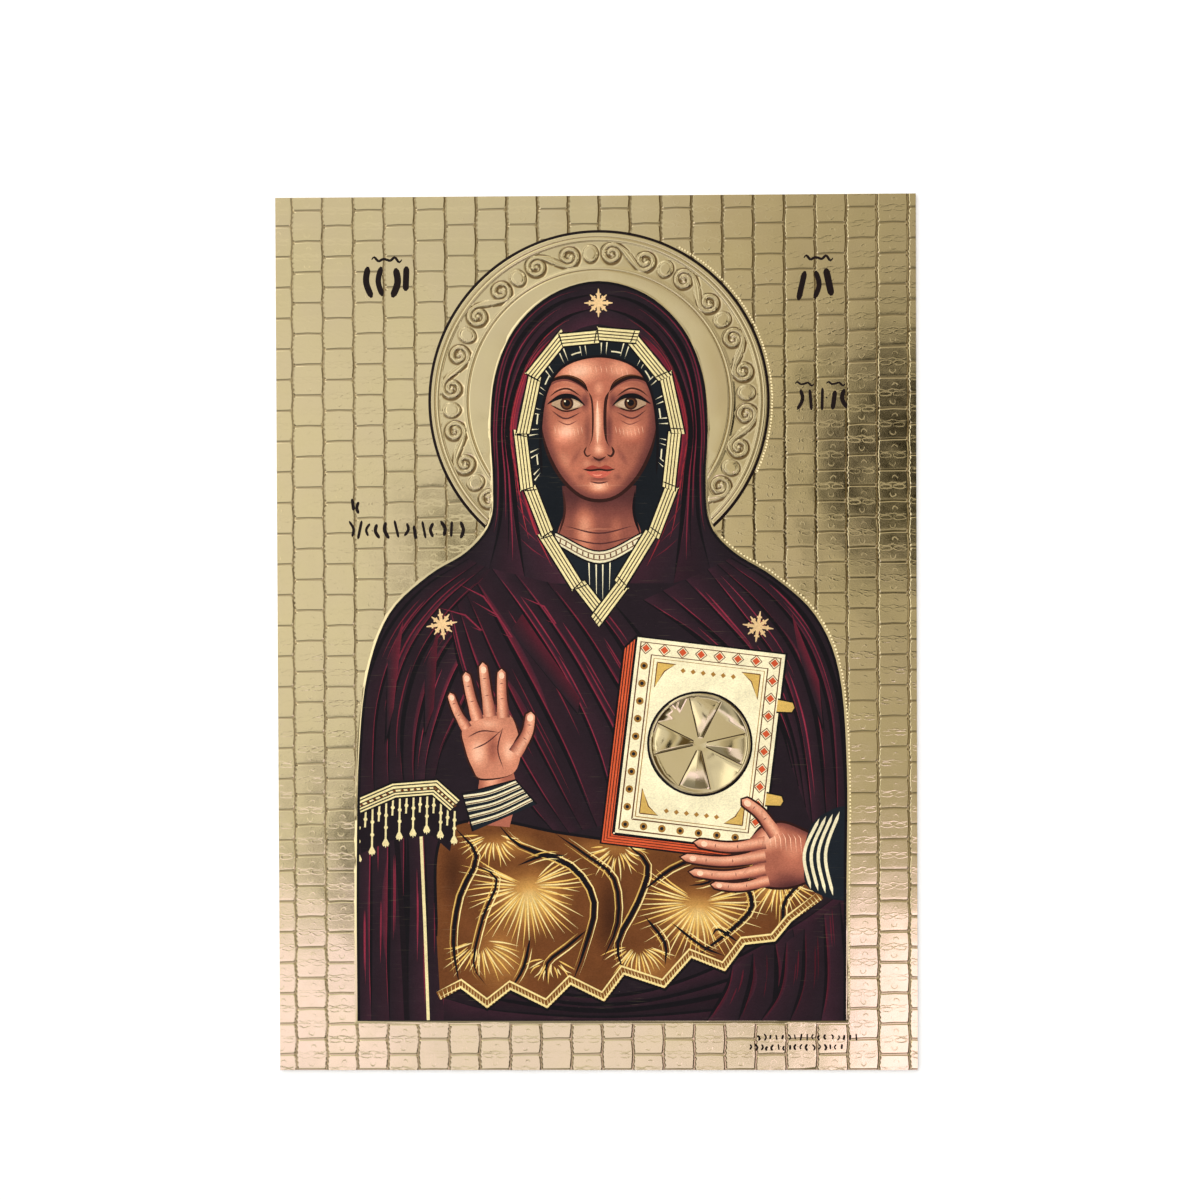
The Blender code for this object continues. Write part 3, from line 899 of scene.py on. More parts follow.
def mitred(line, distance):
    """A cornered line moved sideways by a distance, with its corners kept sharp."""
    line = np.asarray(line, float)
    ahead = np.diff(line, axis=0)
    ahead /= np.hypot(*ahead.T)[:, None]
    side = np.column_stack([-ahead[:, 1], ahead[:, 0]])
    before, after = np.vstack([side[:1], side]), np.vstack([side, side[-1:]])
    both = before + after
    both /= np.hypot(*both.T)[:, None]
    return line + both * (distance / np.maximum((both * after).sum(axis=1), 0.35))[:, None]


def striped_band(art, line, width, stripes):
    """A cornered trim of pale gold with dark lines along it; the line is its outer edge."""
    inner = mitred(line, width)
    art.patch(np.vstack([line, inner[::-1]]), TRIM_GOLD, GILT)
    for share in stripes:
        art.line(mitred(line, width * share), 0.36, BLACK)
    for side in (line, inner):
        art.line(side, 0.5, BLACK)
    return inner


def fold_fan(art, first, last, places, tones=(NIGHT, PLUM), accent=RUBY, seed=1, lit=0.3, rungs=True):
    """Cloth folds between two lines: dark strips with hair lines, lit wedges, rungs and black hollows."""
    dice = np.random.default_rng(seed)
    count = FOLD_STEPS
    first, last = evenly(smooth(first), count), evenly(smooth(last), count)
    lines = [between(first, last, place) for place in places]
    for left, right in zip(lines, lines[1:]):
        bright = dice.uniform(0.55, 1.2)
        art.strip(left, right, tones[1] * bright, tones[0], bend=0.45)
        if accent is not None:
            start = int(count * dice.uniform(0.0, 0.35))
            stop = int(count * (1 - dice.uniform(0.0, 0.4)))
            wedge(
                art, left, right, (start, stop), dice.uniform(0.08, 0.08 + lit), accent * (0.75 * bright),
                tones[1],
            )
            for _ in range(2):
                start = int(count * dice.uniform(0.0, 0.5))
                stop = start + int(count * dice.uniform(0.25, 0.5))
                place = dice.uniform(0.2, 0.75)
                art.stroke(
                    between(left, right, place)[start:stop], dice.uniform(0.25, 0.5), accent * bright,
                    ends=(0.3, 0.6),
                )
            art.stroke(between(left, right, 0.09)[1:-2], 0.36, accent * bright, ends=(0.2, 0.3))
        if rungs and accent is not None and dice.uniform() < 0.5:
            low, high = sorted(dice.uniform(0.1, 0.9, 2))
            for place in range(int(low * count), int(high * count), 2):
                ahead = min(place + 1, count - 1)
                rung = [
                    between(left[place], right[place], 0.12),
                    between(left[ahead], right[ahead], dice.uniform(0.4, 0.75)),
                ]
                art.stroke(rung, 0.28, accent * 0.7, ends=(0.1, 0.7))
    for here in lines:
        art.stroke(here, dice.uniform(0.7, 1.5), BLACK, ends=(0.4, 0.4), least=0.25)


def lit_panel(art, corners, hatch, tone=RUBY):
    """A long flat of cloth that catches the light, hatched from its lit edge."""
    corners = np.array(corners, float)
    art.patch(corners, across(corners[:2], corners[2:4], tone * 0.62, NIGHT * 1.25, 0.55))
    for share in np.linspace(0.05, 0.95, HATCHES):
        start = between(corners[0], corners[1], share)
        art.stroke([start, start + np.array(hatch) * (1.1 - share * 0.5)], 0.28, tone * 1.15, ends=(0.1, 0.8))
    art.stroke(corners[:2], 0.34, tone * 1.2, ends=(0.2, 0.3))
    art.stroke(corners[1:4], 0.6, BLACK, ends=(0.3, 0.3))


def wedge(art, left, right, span, share, near, far):
    """A leaf-shaped light between two lines, beside the left one."""
    start, stop = span
    t = np.linspace(0, 1, stop - start)[:, None]
    gap = 0.07
    low = between(left, right, gap)[start:stop]
    high = low + (np.asarray(right) - np.asarray(left))[start:stop] * share * np.sin(math.pi * t) ** 0.7
    art.strip(low, high, near, far, bend=0.8)


def picture_veil(art):
    outline = [
        (-39, 21), (-32.6, 33), (-31.4, 46), (-31.6, 61), (-29.6, 79), (-23.5, 92), (-12.5, 101.4),
        (1, 104.6),
    ]
    second = [
        (-32, 18.5), (-28.6, 33), (-28.0, 47), (-28.6, 62), (-26.2, 79), (-20.6, 90.0), (-11, 98.0),
        (1, 101.2),
    ]
    third = [
        (-21, 15), (-23.4, 32), (-24.8, 47), (-26.2, 62), (-22.4, 77.5), (-16.5, 87.5), (-8.6, 94.0),
        (1, 97.0),
    ]
    trim = [(-8, 15), (-17, 31), (-21.4, 46), (-23.4, 61), (-19, 78), (-12, 86), (-5, 90.5), (1, 92)]
    for flip, warm in ((np.asarray, 1.0), (mirrored, 0.7)):
        rim, fold, inner, hem = (evenly(smooth(flip(line)), 36) for line in (outline, second, third, trim))
        art.strip(hem, inner, PLUM * 1.25 * warm, NIGHT * 1.3, bend=0.8)
        art.strip(inner, fold, PLUM * warm, NIGHT, bend=0.7)
        art.strip(fold, rim, NIGHT * 1.25, NIGHT * 0.9)
        wedge(art, hem, inner, (6, 33), 0.55, RUBY * warm, WINE * warm)
        wedge(art, inner, fold, (4, 30), 0.30, RUBY * warm, PLUM)
        wedge(art, fold, rim, (12, 30), 0.16, RUBY * 0.7, PLUM)
        for place, start, stop, width in (
            (0.2, 2, 20, 0.5), (0.62, 5, 30, 0.45), (0.8, 9, 33, 0.4), (0.42, 16, 31, 0.3),
        ):
            art.stroke(
                between(hem, inner, place)[start:stop], width, CRIMSON * (0.85 * warm), ends=(0.3, 0.5),
            )
        for place, start, stop in ((0.34, 2, 22), (0.7, 6, 32)):
            art.stroke(between(inner, fold, place)[start:stop], 0.45, RUBY * warm, ends=(0.3, 0.5))
        for place, start, stop in ((0.3, 4, 26), (0.55, 10, 34), (0.8, 3, 18)):
            art.stroke(between(fold, rim, place)[start:stop], 0.4, WINE, ends=(0.3, 0.5))
        for number in range(3, 16, 2):
            art.stroke(
                [between(hem, inner, s)[number + int(3 * s)] for s in (0.25, 0.6, 0.95)], 0.32,
                RUBY * (0.8 * warm),
            )
        art.stroke(inner, 1.5, BLACK, ends=(0.3, 0.25))
        art.stroke(between(inner, fold, 0.52)[2:31], 0.7, BLACK)
        art.stroke(fold, 1.3, BLACK, ends=(0.3, 0.2))


def picture_mantle(art):
    arm_out = [(-38, 22.5), (-52, 13.5), (-63, 0), (-69.5, -18), (-71.4, -36), (-72, -52)]
    arm_mid = [(-31, 19), (-44, 6), (-53, -8), (-57.5, -24), (-58, -38), (-57, -48)]
    arm_in = [(-14, 12), (-24, 2), (-34, -10), (-41, -24), (-46, -34), (-48, -42)]
    fold_fan(art, arm_mid, arm_out, (0, 0.3, 0.62, 0.99), seed=11)
    fold_fan(art, arm_in, arm_mid, (0, 0.36, 0.7, 1), seed=12, lit=0.2)
    arm_out = [(40, 22.5), (54, 13.5), (65, 0), (71.5, -18), (73.4, -36), (74, -58)]
    arm_mid = [(33, 19), (43, 6), (53, -8), (59, -24), (62, -40), (64, -58)]
    arm_in = [(14, 10), (26, 2), (36, -6), (46, -14), (54, -26), (58, -40)]
    fold_fan(art, arm_mid, arm_out, (0, 0.42, 0.74, 1), seed=13)
    fold_fan(art, arm_in, arm_mid, (0, 0.3, 0.66, 1), seed=14, lit=0.2)
    shoulder = [(-31, 19.5), (-20, 4), (-9, -14), (0, -34), (6, -56)]
    chest = [(12, 9), (20, 0), (27, -10), (36, -14), (46, -18)]
    sleeve = [(-44, 6), (-40, -12), (-33, -30), (-22, -48), (-12, -60)]
    fold_fan(art, sleeve, shoulder, (0, 0.2, 0.42, 0.66, 1), seed=16, lit=0.2)
    fold_fan(art, shoulder, chest, (0, 0.16, 0.38, 0.6, 0.8), seed=17, lit=0.2)
    lit_panel(art, [(-57.5, 4), (-60.5, -22), (-63.0, -33), (-62.2, -8)], (-3.0, -2.2))
    lit_panel(art, [(-47, 2), (-48.5, -22), (-51.5, -31), (-51.0, -10)], (-2.8, -2.0), WINE)
    lit_panel(art, [(-22, 6), (-5, -19), (-5.5, -24), (-25.6, 1)], (-2.4, -3.0), WINE)
    lit_panel(art, [(58, 6), (66.0, -14), (67.6, -30), (60.0, -6)], (-2.2, -3.0), RUBY * 0.85)
    for left, right in (
        ((-41, 15), (-29, 5)), ((-37, 10), (-25, -1)), ((-47, 8), (-34, 1)), ((-22, 11), (-12, 3)),
    ):
        art.stroke(
            [left, between(left, right, 0.5) + (1.5, 1.2), right, np.array(right) + (-3.4, 1.3)], 0.5, RUBY,
            ends=(0.1, 0.3),
        )
    fall_left = [(-71.8, -60), (-72, -80), (-72, -98), (-72, -115)]
    fall_mid = [(-57, -56), (-57, -80), (-57.5, -98), (-57, -115)]
    fall_right = [(-46, -58), (-45, -80), (-45, -98), (-45, -115)]
    fold_fan(art, fall_mid, fall_left, (0.02, 0.34, 0.7, 0.97), seed=19)
    fold_fan(art, fall_right, fall_mid, (0.05, 0.5, 0.95), seed=20, lit=0.2)
    art.line([(-60, -58), (-58.5, -80), (-57, -115)], 1.6, NIGHT * 0.5)
    art.line([(-52.6, -57), (-51.5, -86), (-50.6, -115)], 0.9, TRIM_GOLD, GILT)


def picture_inner_dress(art):
    """The dark dress in the mantle's opening, its collar and the neck."""
    opening = mitred(TRIM, -3)
    art.patch(opening, MIDNIGHT * 0.6)
    art.patch([(-12, 31), (-9, 17), (1, 3.5), (11, 17), (14, 31)], MIDNIGHT)
    for x in (-2.2, 0.0, 2.0, 4.2):
        foot = 7.0 + abs(x - 1) * 1.5
        art.stroke([(x, 23.5), (x * 0.9 + 0.1, foot)], 0.5, CREAM, ends=(0, 0.5))
    neck = smooth(
        [(-10, 44), (-9.6, 36), (-11.5, 29), (-8, 26), (1, 24.3), (10, 26), (13.5, 29), (11.6, 36), (12, 44)]
    )

    def shade(spots):
        lit = 0.30 + 0.42 * glow(spots, (-3.4, 31), (4.4, 12)) + 0.16 * glow(spots, (6, 30), (2.5, 7))
        return flesh(lit - 0.30 * ease(spots[:, 1], 33.0, 41.0))

    art.patch(neck, shade, grain=0.7)
    for height, sag in ((31.2, 1.3), (28.0, 1.2)):
        art.curve([(-9.5, height + 1), (1, height - sag), (11.5, height + 1)], 0.45, FLESH[0][1])
    art.curve([(-9.7, 43), (-9.3, 36), (-11.2, 29)], 0.7, BROWN)
    art.curve([(11.7, 43), (11.3, 36), (13.2, 29)], 0.9, BLACK)
    low = smooth([(-12.5, 26.8), (1, 20.8), (14.5, 26.8)], 8)
    high = smooth([(-12.0, 30.2), (1, 24.6), (14.0, 30.2)], 8)
    art.patch(np.vstack([low, high[::-1]]), CREAM * 0.95, GILT)
    art.line(between(low, high, 0.3), 0.3, UMBER)
    art.line(between(low, high, 0.72), 0.3, UMBER)
    for place in range(1, 16):
        art.line([between(low[place], high[place], share) for share in (0.36, 0.66)], 0.42, UMBER)
    art.line(low, 0.55, BLACK)
    art.line(high, 0.45, BLACK)


FACE = smooth(
    [
        (1, 86.2), (-8.5, 84.6), (-15, 79), (-17.4, 71), (-17.2, 62), (-15.2, 53.4), (-11, 45.4),
        (-5.2, 39.8), (1, 38.1), (7.2, 39.8), (13, 45.4), (17.2, 53.4), (19.2, 62), (19.4, 71), (17, 79),
        (10.5, 84.6),
    ],
    5, closed=True,
)


TRIM = np.array(
    [(1, 3.0), (-7, 13.5), (-16.6, 29), (-22.0, 43), (-23.9, 60), (-20.2, 77.5), (-10.4, 89.6), (1, 90.6)]
)
TRIM = np.vstack([TRIM, mirrored(TRIM)[-2::-1]])


def face_light(spots):
    """Light and shade of a frontal face, lit from the upper left."""
    rim = distance_to(looped(FACE), spots)
    lit = 0.50 - 0.34 * (1 - ease(rim, 0.0, 4.2)) - 0.10 * ease(spots[:, 0], 2, 16)
    for centre, radii, turn, amount in (
        ((-5.0, 79.2), (9.0, 5.6), 0.1, 0.42), ((8.2, 79.6), (6.5, 4.6), -0.1, 0.30),
        ((1.0, 73.6), (2.2, 3.0), 0, 0.20), ((-9.3, 60.0), (6.2, 5.2), 0.4, 0.44),
        ((11.2, 60.2), (5.2, 4.8), -0.4, 0.34), ((0.7, 62.5), (1.7, 10.5), 0, 0.44),
        ((0.9, 54.2), (2.5, 2.4), 0, 0.34), ((-2.8, 49.9), (2.2, 1.6), 0.2, 0.14),
        ((0.9, 42.6), (4.6, 2.7), 0, 0.40), ((-10.2, 50.5), (3.2, 4.5), 0.4, 0.12),
        ((-9.2, 73.4), (5.0, 1.1), 0.06, 0.26), ((11.2, 73.4), (5.0, 1.1), -0.06, 0.22),
        ((-8.2, 69.2), (7.2, 4.6), 0, -0.30), ((10.2, 69.2), (7.2, 4.6), 0, -0.34),
        ((-3.2, 69.5), (1.9, 4.6), 0, -0.26), ((5.2, 69.5), (1.9, 4.6), 0, -0.26),
        ((-2.6, 60.0), (1.6, 9.0), 0, -0.20), ((4.2, 60.0), (1.9, 10.0), 0, -0.34),
        ((1.0, 51.2), (4.6, 1.1), 0, -0.30), ((1.0, 44.9), (4.6, 1.25), 0, -0.34),
        ((-6.4, 52.0), (1.5, 4.8), -0.5, -0.13), ((8.4, 52.0), (1.5, 4.8), 0.5, -0.16),
        ((1.0, 50.4), (0.8, 1.3), 0, -0.20), ((-4.9, 45.6), (2.0, 2.0), 0, -0.14),
        ((6.9, 45.6), (2.0, 2.0), 0, -0.16),
    ):
        lit += amount * glow(spots, centre, radii, turn)
    return lit


def picture_face(art):
    def skin(spots):
        tone = flesh(face_light(spots))
        warm = 0.5 * glow(spots, (-10, 58), (5.5, 4.5)) + 0.5 * glow(spots, (12.2, 58), (5, 4.5))
        return tone * (1 + warm[:, None] * ((0.10, -0.13, -0.10),))

    art.fit = (np.array((1.0, 62.0)), 0.94)
    art.patch(FACE, skin, grain=0.62)
    pale = FLESH[4][1]
    for centre, wide, count, reach, bow in (
        ((1, 79.6), 9.0, 12, 2.6, 1.2), ((-8.6, 59.6), 4.2, 8, 2.6, -0.9), ((10.6, 59.6), 4.2, 8, 2.6, -0.9),
        ((1.0, 43.0), 2.6, 6, 1.3, -0.4),
    ):
        for share in np.linspace(-1, 1, count):
            x, y = centre[0] + wide * share, centre[1] - bow * share * share
            line = smooth([(x - 0.3, y + reach / 2), (x, y), (x + 0.2, y - reach / 2)], 2)
            art.stroke(line, 0.22, between(flesh(face_light(line[:1]))[0], pale, 0.55), ends=(0.5, 0.6))
    for flip in (np.asarray, mirrored):
        brow = flip(smooth([(-2.2, 72.4), (-4.6, 75.4), (-9.0, 77.2), (-13.4, 76.2), (-16.6, 72.6)]))
        art.stroke(brow - (0, 0.9), 0.9, FLESH[1][1], ends=(0.3, 0.7))
        art.stroke(brow, 1.7, BROWN * 0.35, ends=(0.25, 0.8))
        art.stroke(brow[3:-5] + (0, 0.5), 0.3, UMBER, ends=(0.3, 0.5))
        art.stroke(
            flip(smooth([(-14.8, 70.8), (-11.8, 73.0), (-8.4, 73.4), (-4.4, 70.9)])), 0.6, BROWN,
            ends=(0.4, 0.4),
        )
        eye = smooth(
            [
                (-14.0, 68.7), (-11.8, 70.5), (-8.8, 70.9), (-6.0, 70.0), (-4.0, 68.3), (-6.6, 67.2),
                (-9.4, 66.8), (-12.0, 67.3),
            ],
            5, True,
        )
        art.patch(flip(eye), srgb(168, 138, 108))
        art.patch(flip(smooth([(-7.2, 69.8), (-4.8, 68.5), (-7.2, 67.5)], 4, True)), srgb(196, 170, 140))
        for radius, steps, y, tone in (
            (2.1, 20, 68.9, BROWN * 0.7), (1.5, 16, 68.8, UMBER * 0.8), (1.05, 14, 69.0, BLACK),
        ):
            art.patch(flip(disc((-9.1, y), radius, steps)), tone)
        lid = [
            (-15.4, 68.6), (-12.0, 71.4), (-8.8, 72.0), (-5.8, 71.0), (-3.2, 68.0), (-5.9, 69.8),
            (-8.8, 70.6), (-11.9, 70.0),
        ]
        art.patch(flip(smooth(lid, 5, True)), BLACK)
        for points, width, tone, end in (
            ([(-14.2, 68.4), (-9.6, 66.4), (-4.8, 67.6)], 0.5, BROWN * 0.7, 0.2),
            ([(-14.2, 66.8), (-9.6, 64.1), (-4.4, 66.2)], 0.5, FLESH[0][1], 0.4),
            ([(-12.4, 63.6), (-8.8, 62.2), (-5.6, 63.6)], 0.35, FLESH[1][1], 0.35),
            ([(-4.8, 54.6), (-6.0, 52.4), (-6.4, 50.8)], 0.28, between(FLESH[1][1], FLESH[2][1], 0.4), 0.35),
        ):
            art.stroke(flip(smooth(points)), width, tone, ends=(end, end))
    for x in (-9.7, 10.2):
        art.patch(disc((x, 69.6), 0.3, 8), CREAM)
    for points, width, tone, ends in (
        ([(-2.2, 72.6), (-1.2, 69.6), (-0.9, 64.0), (-1.2, 58.0), (-2.4, 55.0)], 0.6, BROWN, (0.15, 0.5)),
        ([(4.2, 72.6), (3.2, 69.6), (2.9, 64.0), (3.2, 58.0), (4.2, 55.2)], 1.0, BROWN * 0.7, (0.15, 0.4)),
        ([(-2.8, 55.4), (-3.6, 53.6), (-2.8, 52.2), (-1.4, 52.8)], 0.55, BROWN, (0.35, 0.35)),
        ([(4.9, 55.4), (5.6, 53.6), (4.8, 52.2), (3.4, 52.8)], 0.75, BROWN * 0.7, (0.35, 0.35)),
        ([(-1.2, 52.2), (1.0, 51.0), (3.3, 52.2)], 0.6, BROWN, (0.35, 0.35)),
        ([(0.5, 70), (0.6, 62), (0.5, 56)], 0.8, pale, (0.4, 0.3)),
    ):
        art.curve(points, width, tone, ends=ends)
    lip = srgb(150, 62, 50)
    art.patch(
        smooth(
            [
                (-3.6, 47.9), (-1.3, 49.3), (1.0, 48.7), (3.3, 49.3), (5.6, 47.9), (3.5, 47.5), (1, 47.8),
                (-1.5, 47.5),
            ],
            4, True,
        ),
        lip,
    )
    art.patch(
        smooth([(-2.9, 47.6), (1, 47.4), (4.9, 47.6), (3.4, 45.9), (1, 45.2), (-1.4, 45.9)], 4, True),
        srgb(190, 92, 74),
    )
    art.curve([(-1.2, 46.4), (0.6, 46.1), (2.2, 46.5)], 0.45, srgb(226, 138, 112))
    art.curve(
        [(-4.3, 48.2), (-1.7, 47.7), (1, 48.0), (3.7, 47.7), (6.3, 48.2)], 0.62, BROWN * 0.5, ends=(0.2, 0.2),
    )
    art.curve([(-2.0, 44.2), (1.0, 43.7), (4.0, 44.2)], 0.5, FLESH[0][1])
    art.stroke(FACE[20:61], 1.1, BROWN * 0.6, ends=(0.2, 0.2), least=0.3)
    art.fit = None


def picture_trim(art):
    """The cap round the face and the veil's trim, folded over at each of its corners."""
    width = 4.1
    inner = mitred(TRIM, -width)
    rim = evenly(smooth(inner[3:-3], 8), 66)
    brow = evenly(
        smooth(
            [
                (-16.0, 47), (-16.4, 58), (-14.8, 71), (-9.6, 79.4), (1, 82.4), (11.6, 79.4), (16.8, 71),
                (18.4, 58), (18.0, 47),
            ],
            8,
        ),
        66,
    )
    art.patch(np.vstack([rim, brow[::-1]]), MIDNIGHT * 0.7)
    art.stroke(brow, 0.8, BLACK, ends=(0.05, 0.05))
    for number in range(1, 65):
        if number % 4 in (1, 2):
            art.stroke(
                [between(rim[number], brow[number], s) for s in (0.02, 0.86)], 0.42, CREAM * 0.9,
                ends=(0, 0.4),
            )
        elif number % 8 == 4:
            art.line(
                [between(rim[n], brow[n], 0.62) for n in (number - 1, number, number + 1)], 0.4, CREAM * 0.85,
            )
    steps = list(zip(TRIM, TRIM[1:]))
    order = sorted(range(len(steps)), key=lambda k: min(steps[k][0][1], steps[k][1][1]))
    for k in order:
        start, stop = steps[k]
        way = (stop - start) / math.dist(start, stop)
        jog = np.array((-way[1], way[0])) * (0.55 if k % 2 else -0.35)
        low, high = start - way * 0.5 + jog, stop + way * 0.9 + jog
        inner_low, inner_high = (
            p + np.array((way[1], -way[0])) * width
            for p in (low + way * 0.9, high - way * 1.1)
        )
        art.patch([low, high, inner_high, inner_low], TRIM_GOLD, GILT)
        for share in (0.27, 0.5, 0.73):
            line = [between(low, inner_low, share), between(high, inner_high, share)]
            art.line(line, 0.32, BROWN * 0.5)
        art.line([low, high, inner_high, inner_low, low], 0.5, BLACK)
        end = [high - way * 1.5, inner_high - way * 1.5]
        art.line([between(*end, 0.08), between(*end, 0.92)], 0.34, BLACK)


def star(art, centre, size, turn=0.0):
    gold = srgb(232, 196, 142)
    for ray in range(8):
        reach = size * (1.0 if ray % 2 == 0 else 0.82)
        line = np.array([(0.3, 0), (reach * 0.5, 0), (reach, 0)])
        art.stroke(placed(line, centre, turn + ray * TAU / 8), 0.95, gold, GILT, ends=(0, 0.6), least=0.25)
        bar = np.array([(reach * 0.62, -0.75), (reach * 0.62, 0.75)])
        art.line(placed(bar, centre, turn + ray * TAU / 8), 0.5, gold, GILT)
    art.patch(disc(centre, 0.95, 12), gold, GILT)


def finger(art, line, width, side=1):
    """A rounded finger along a line from its root to its tip."""
    line = evenly(smooth(line), FINGER_STEPS)
    share = np.linspace(0, 1, FINGER_STEPS)
    round_end = np.sqrt(np.clip(1 - np.clip((share - 0.86) / 0.14, 0, 1) ** 2, 0, 1))
    half = width / 2 * (1 - (1 - FINGERTIP) * share) * round_end
    across_line = sideways(line) * half[:, None]
    left, right = line + across_line, line - across_line
    light = shifted(line, side * width * 0.12)

    def shade(spots):
        return flesh(0.86 - 0.66 * (distance_to(light, spots) / (width * 0.55)) ** 1.4)

    art.patch(np.vstack([left, right[-2::-1]]), shade, grain=0.6)
    art.stroke(np.vstack([right[2:-1], left[:1:-1]]), 0.6, BROWN * 0.55, ends=(0.12, 0.12))
    nail = placed(
        circle(1, 10) * (width * 0.22, width * 0.27), line[-3], math.atan2(*(line[-1] - line[-4])) * -1,
    )
    art.patch(nail, FLESH[4][1] * 1.05)
    for place in (5, 9):
        art.stroke([between(left[place], right[place], s) for s in (0.3, 0.5, 0.72)], 0.3, FLESH[1][1])


def picture_raised_hand(art):
    """The open right hand, its wrist and the striped cuff."""
    centre, turn = (-31.5, -33), math.radians(9)

    def at(points):
        return placed(points, centre, turn)

    arm = at([(-4.6, -8), (-6.4, -14), (-10.5, -22), (1.5, -25), (5.8, -15), (5.2, -8)])
    art.patch(arm, lambda spots: flesh(0.42 + 0.4 * glow(spots, at([(-1.5, -10)])[0], (4, 7))), grain=0.8)
    palm = at(
        smooth(
            [
                (-7.6, 6.5), (-8.0, 0), (-6.8, -6), (-4.6, -9.6), (4.6, -9.6), (8.2, -4.5), (8.9, 1),
                (7.0, 8), (0, 9.4),
            ],
            5, True,
        )
    )

    def palm_light(spots):
        lit = 0.62
        for x, y, wide, high, amount in (
            (-4.2, -1.5, 4.0, 7.0, 0.30), (5.0, -2.5, 3.4, 6, 0.28), (0.4, -1, 2.6, 6.0, -0.28),
            (0, 6.4, 7, 2.4, 0.22),
        ):
            lit = lit + amount * glow(spots, at([(x, y)])[0], (wide, high))
        return flesh(lit)

    art.patch(palm, palm_light, grain=0.6)
    art.stroke(np.vstack([palm[-4:], palm[:22]]), 0.6, BROWN * 0.7)
    art.stroke(palm[24:36], 0.6, BROWN * 0.7)
    for line, width, side in (
        ([(-6.3, 6), (-8.4, 11.5), (-9.6, 17.6)], 3.3, 1), ([(-2.7, 8), (-3.6, 15), (-4.0, 23.0)], 3.7, 1),
        ([(1.2, 8.4), (1.2, 16), (1.5, 25.0)], 3.9, 1), ([(5.0, 7.4), (5.6, 14.5), (6.8, 22.2)], 3.8, 1),
        ([(6.6, -3.6), (11.2, 1.8), (13.4, 8.2)], 4.2, -1),
    ):
        finger(art, at(line), width, side=side)
    for line in (
        [(-6.6, 3.4), (-2, 4.6), (3.5, 3.2)], [(-5.8, -0.4), (-1, 1.0), (4.6, 4.4)],
        [(4.4, 4.8), (1.8, -1.5), (2.6, -8)],
    ):
        art.stroke(at(smooth(line)), 0.4, FLESH[0][1], ends=(0.3, 0.5))
    cuff = at([(-10.8, -13.0), (5.6, -11.4), (10.6, -19.5), (-9.5, -24.5)])
    art.patch(cuff, MIDNIGHT)
    for share in (0.08, 0.26, 0.44, 0.62, 0.8):
        low, high = between(cuff[0], cuff[3], share), between(cuff[1], cuff[2], share)
        rib = smooth([low, between(low, high, 0.5) - (0.4, 1.0), high])
        art.line(rib, 1.0, CREAM * 0.9)
        art.line(rib - (0.1, 0.25), 0.3, UMBER)
    art.line(np.vstack([cuff[3], cuff[0], cuff[1], cuff[2]]), 0.6, BLACK)


def picture_fringe(art):
    """The mantle's striped hem over the arm, with its row of tassels."""
    hem = np.array([(-72.2, -49), (-61, -44.2), (-47.5, -43.2), (-40.8, -49.2)])
    low = mitred(hem, -4.6)
    art.patch(np.vstack([hem + (0, 0.5), low[::-1] - (0, 12)]), NIGHT * 0.7)
    for number, x in enumerate(np.linspace(-71.0, -42.4, 15)):
        y = np.interp(x, low[:, 0], low[:, 1])
        drop = 12.5 - 5.0 * (x + 72) / 30 if number % 2 == 0 else 4.8
        art.line([(x, y), (x - 0.25, y - drop)], 0.55, TRIM_GOLD, GILT)
        for share in (0.35, 0.68) if number % 2 == 0 else (0.5,):
            art.patch(placed(circle(1, 8) * (0.6, 0.6), (x - 0.2 * share, y - drop * share)), TRIM_GOLD, GILT)
        if number % 2 == 0:
            drop_shape = [
                (0, 0.7), (0.55, -0.3), (1.05, -1.4), (0.7, -2.2), (0.25, -1.9), (0, -2.7), (-0.25, -1.9),
                (-0.7, -2.2), (-1.05, -1.4), (-0.55, -0.3),
            ]
            art.patch(placed(drop_shape, (x - 0.25, y - drop)), TRIM_GOLD, GILT)
    striped_band(art, hem, -4.6, (0.2, 0.42, 0.62, 0.8))
    for start, stop in ((0.1, 1), (1.2, 2), (2.1, 3)):
        t = np.linspace(start, stop, 6)
        for spot in np.column_stack([np.interp(t, range(4), mitred(hem, -2.4)[:, k]) for k in (0, 1)]):
            art.patch(diamond(spot, 0.6, 0.5), UMBER)


def cloth_light(spots):
    """Light on the robe: broad over both knees and down the shins, dark between them."""
    lit = 0.34 + 0.55 * glow(spots, (-20, -79), (15, 13)) + 0.55 * glow(spots, (30, -84), (16, 11), -0.2)
    shins = 0.32 * glow(spots, (-29, -96), (11, 15)) + 0.26 * glow(spots, (16, -100), (13, 8))
    lit += shins + 0.3 * glow(spots, (50, -76), (12, 7))
    lit -= 0.24 * glow(spots, (4, -84), (6, 18)) + 0.2 * glow(spots, (-43, -72), (5, 14))
    return lit + 0.3 * glow(spots, (-28, -63), (14, 5)) + 0.25 * glow(spots, (4, -64), (16, 4))


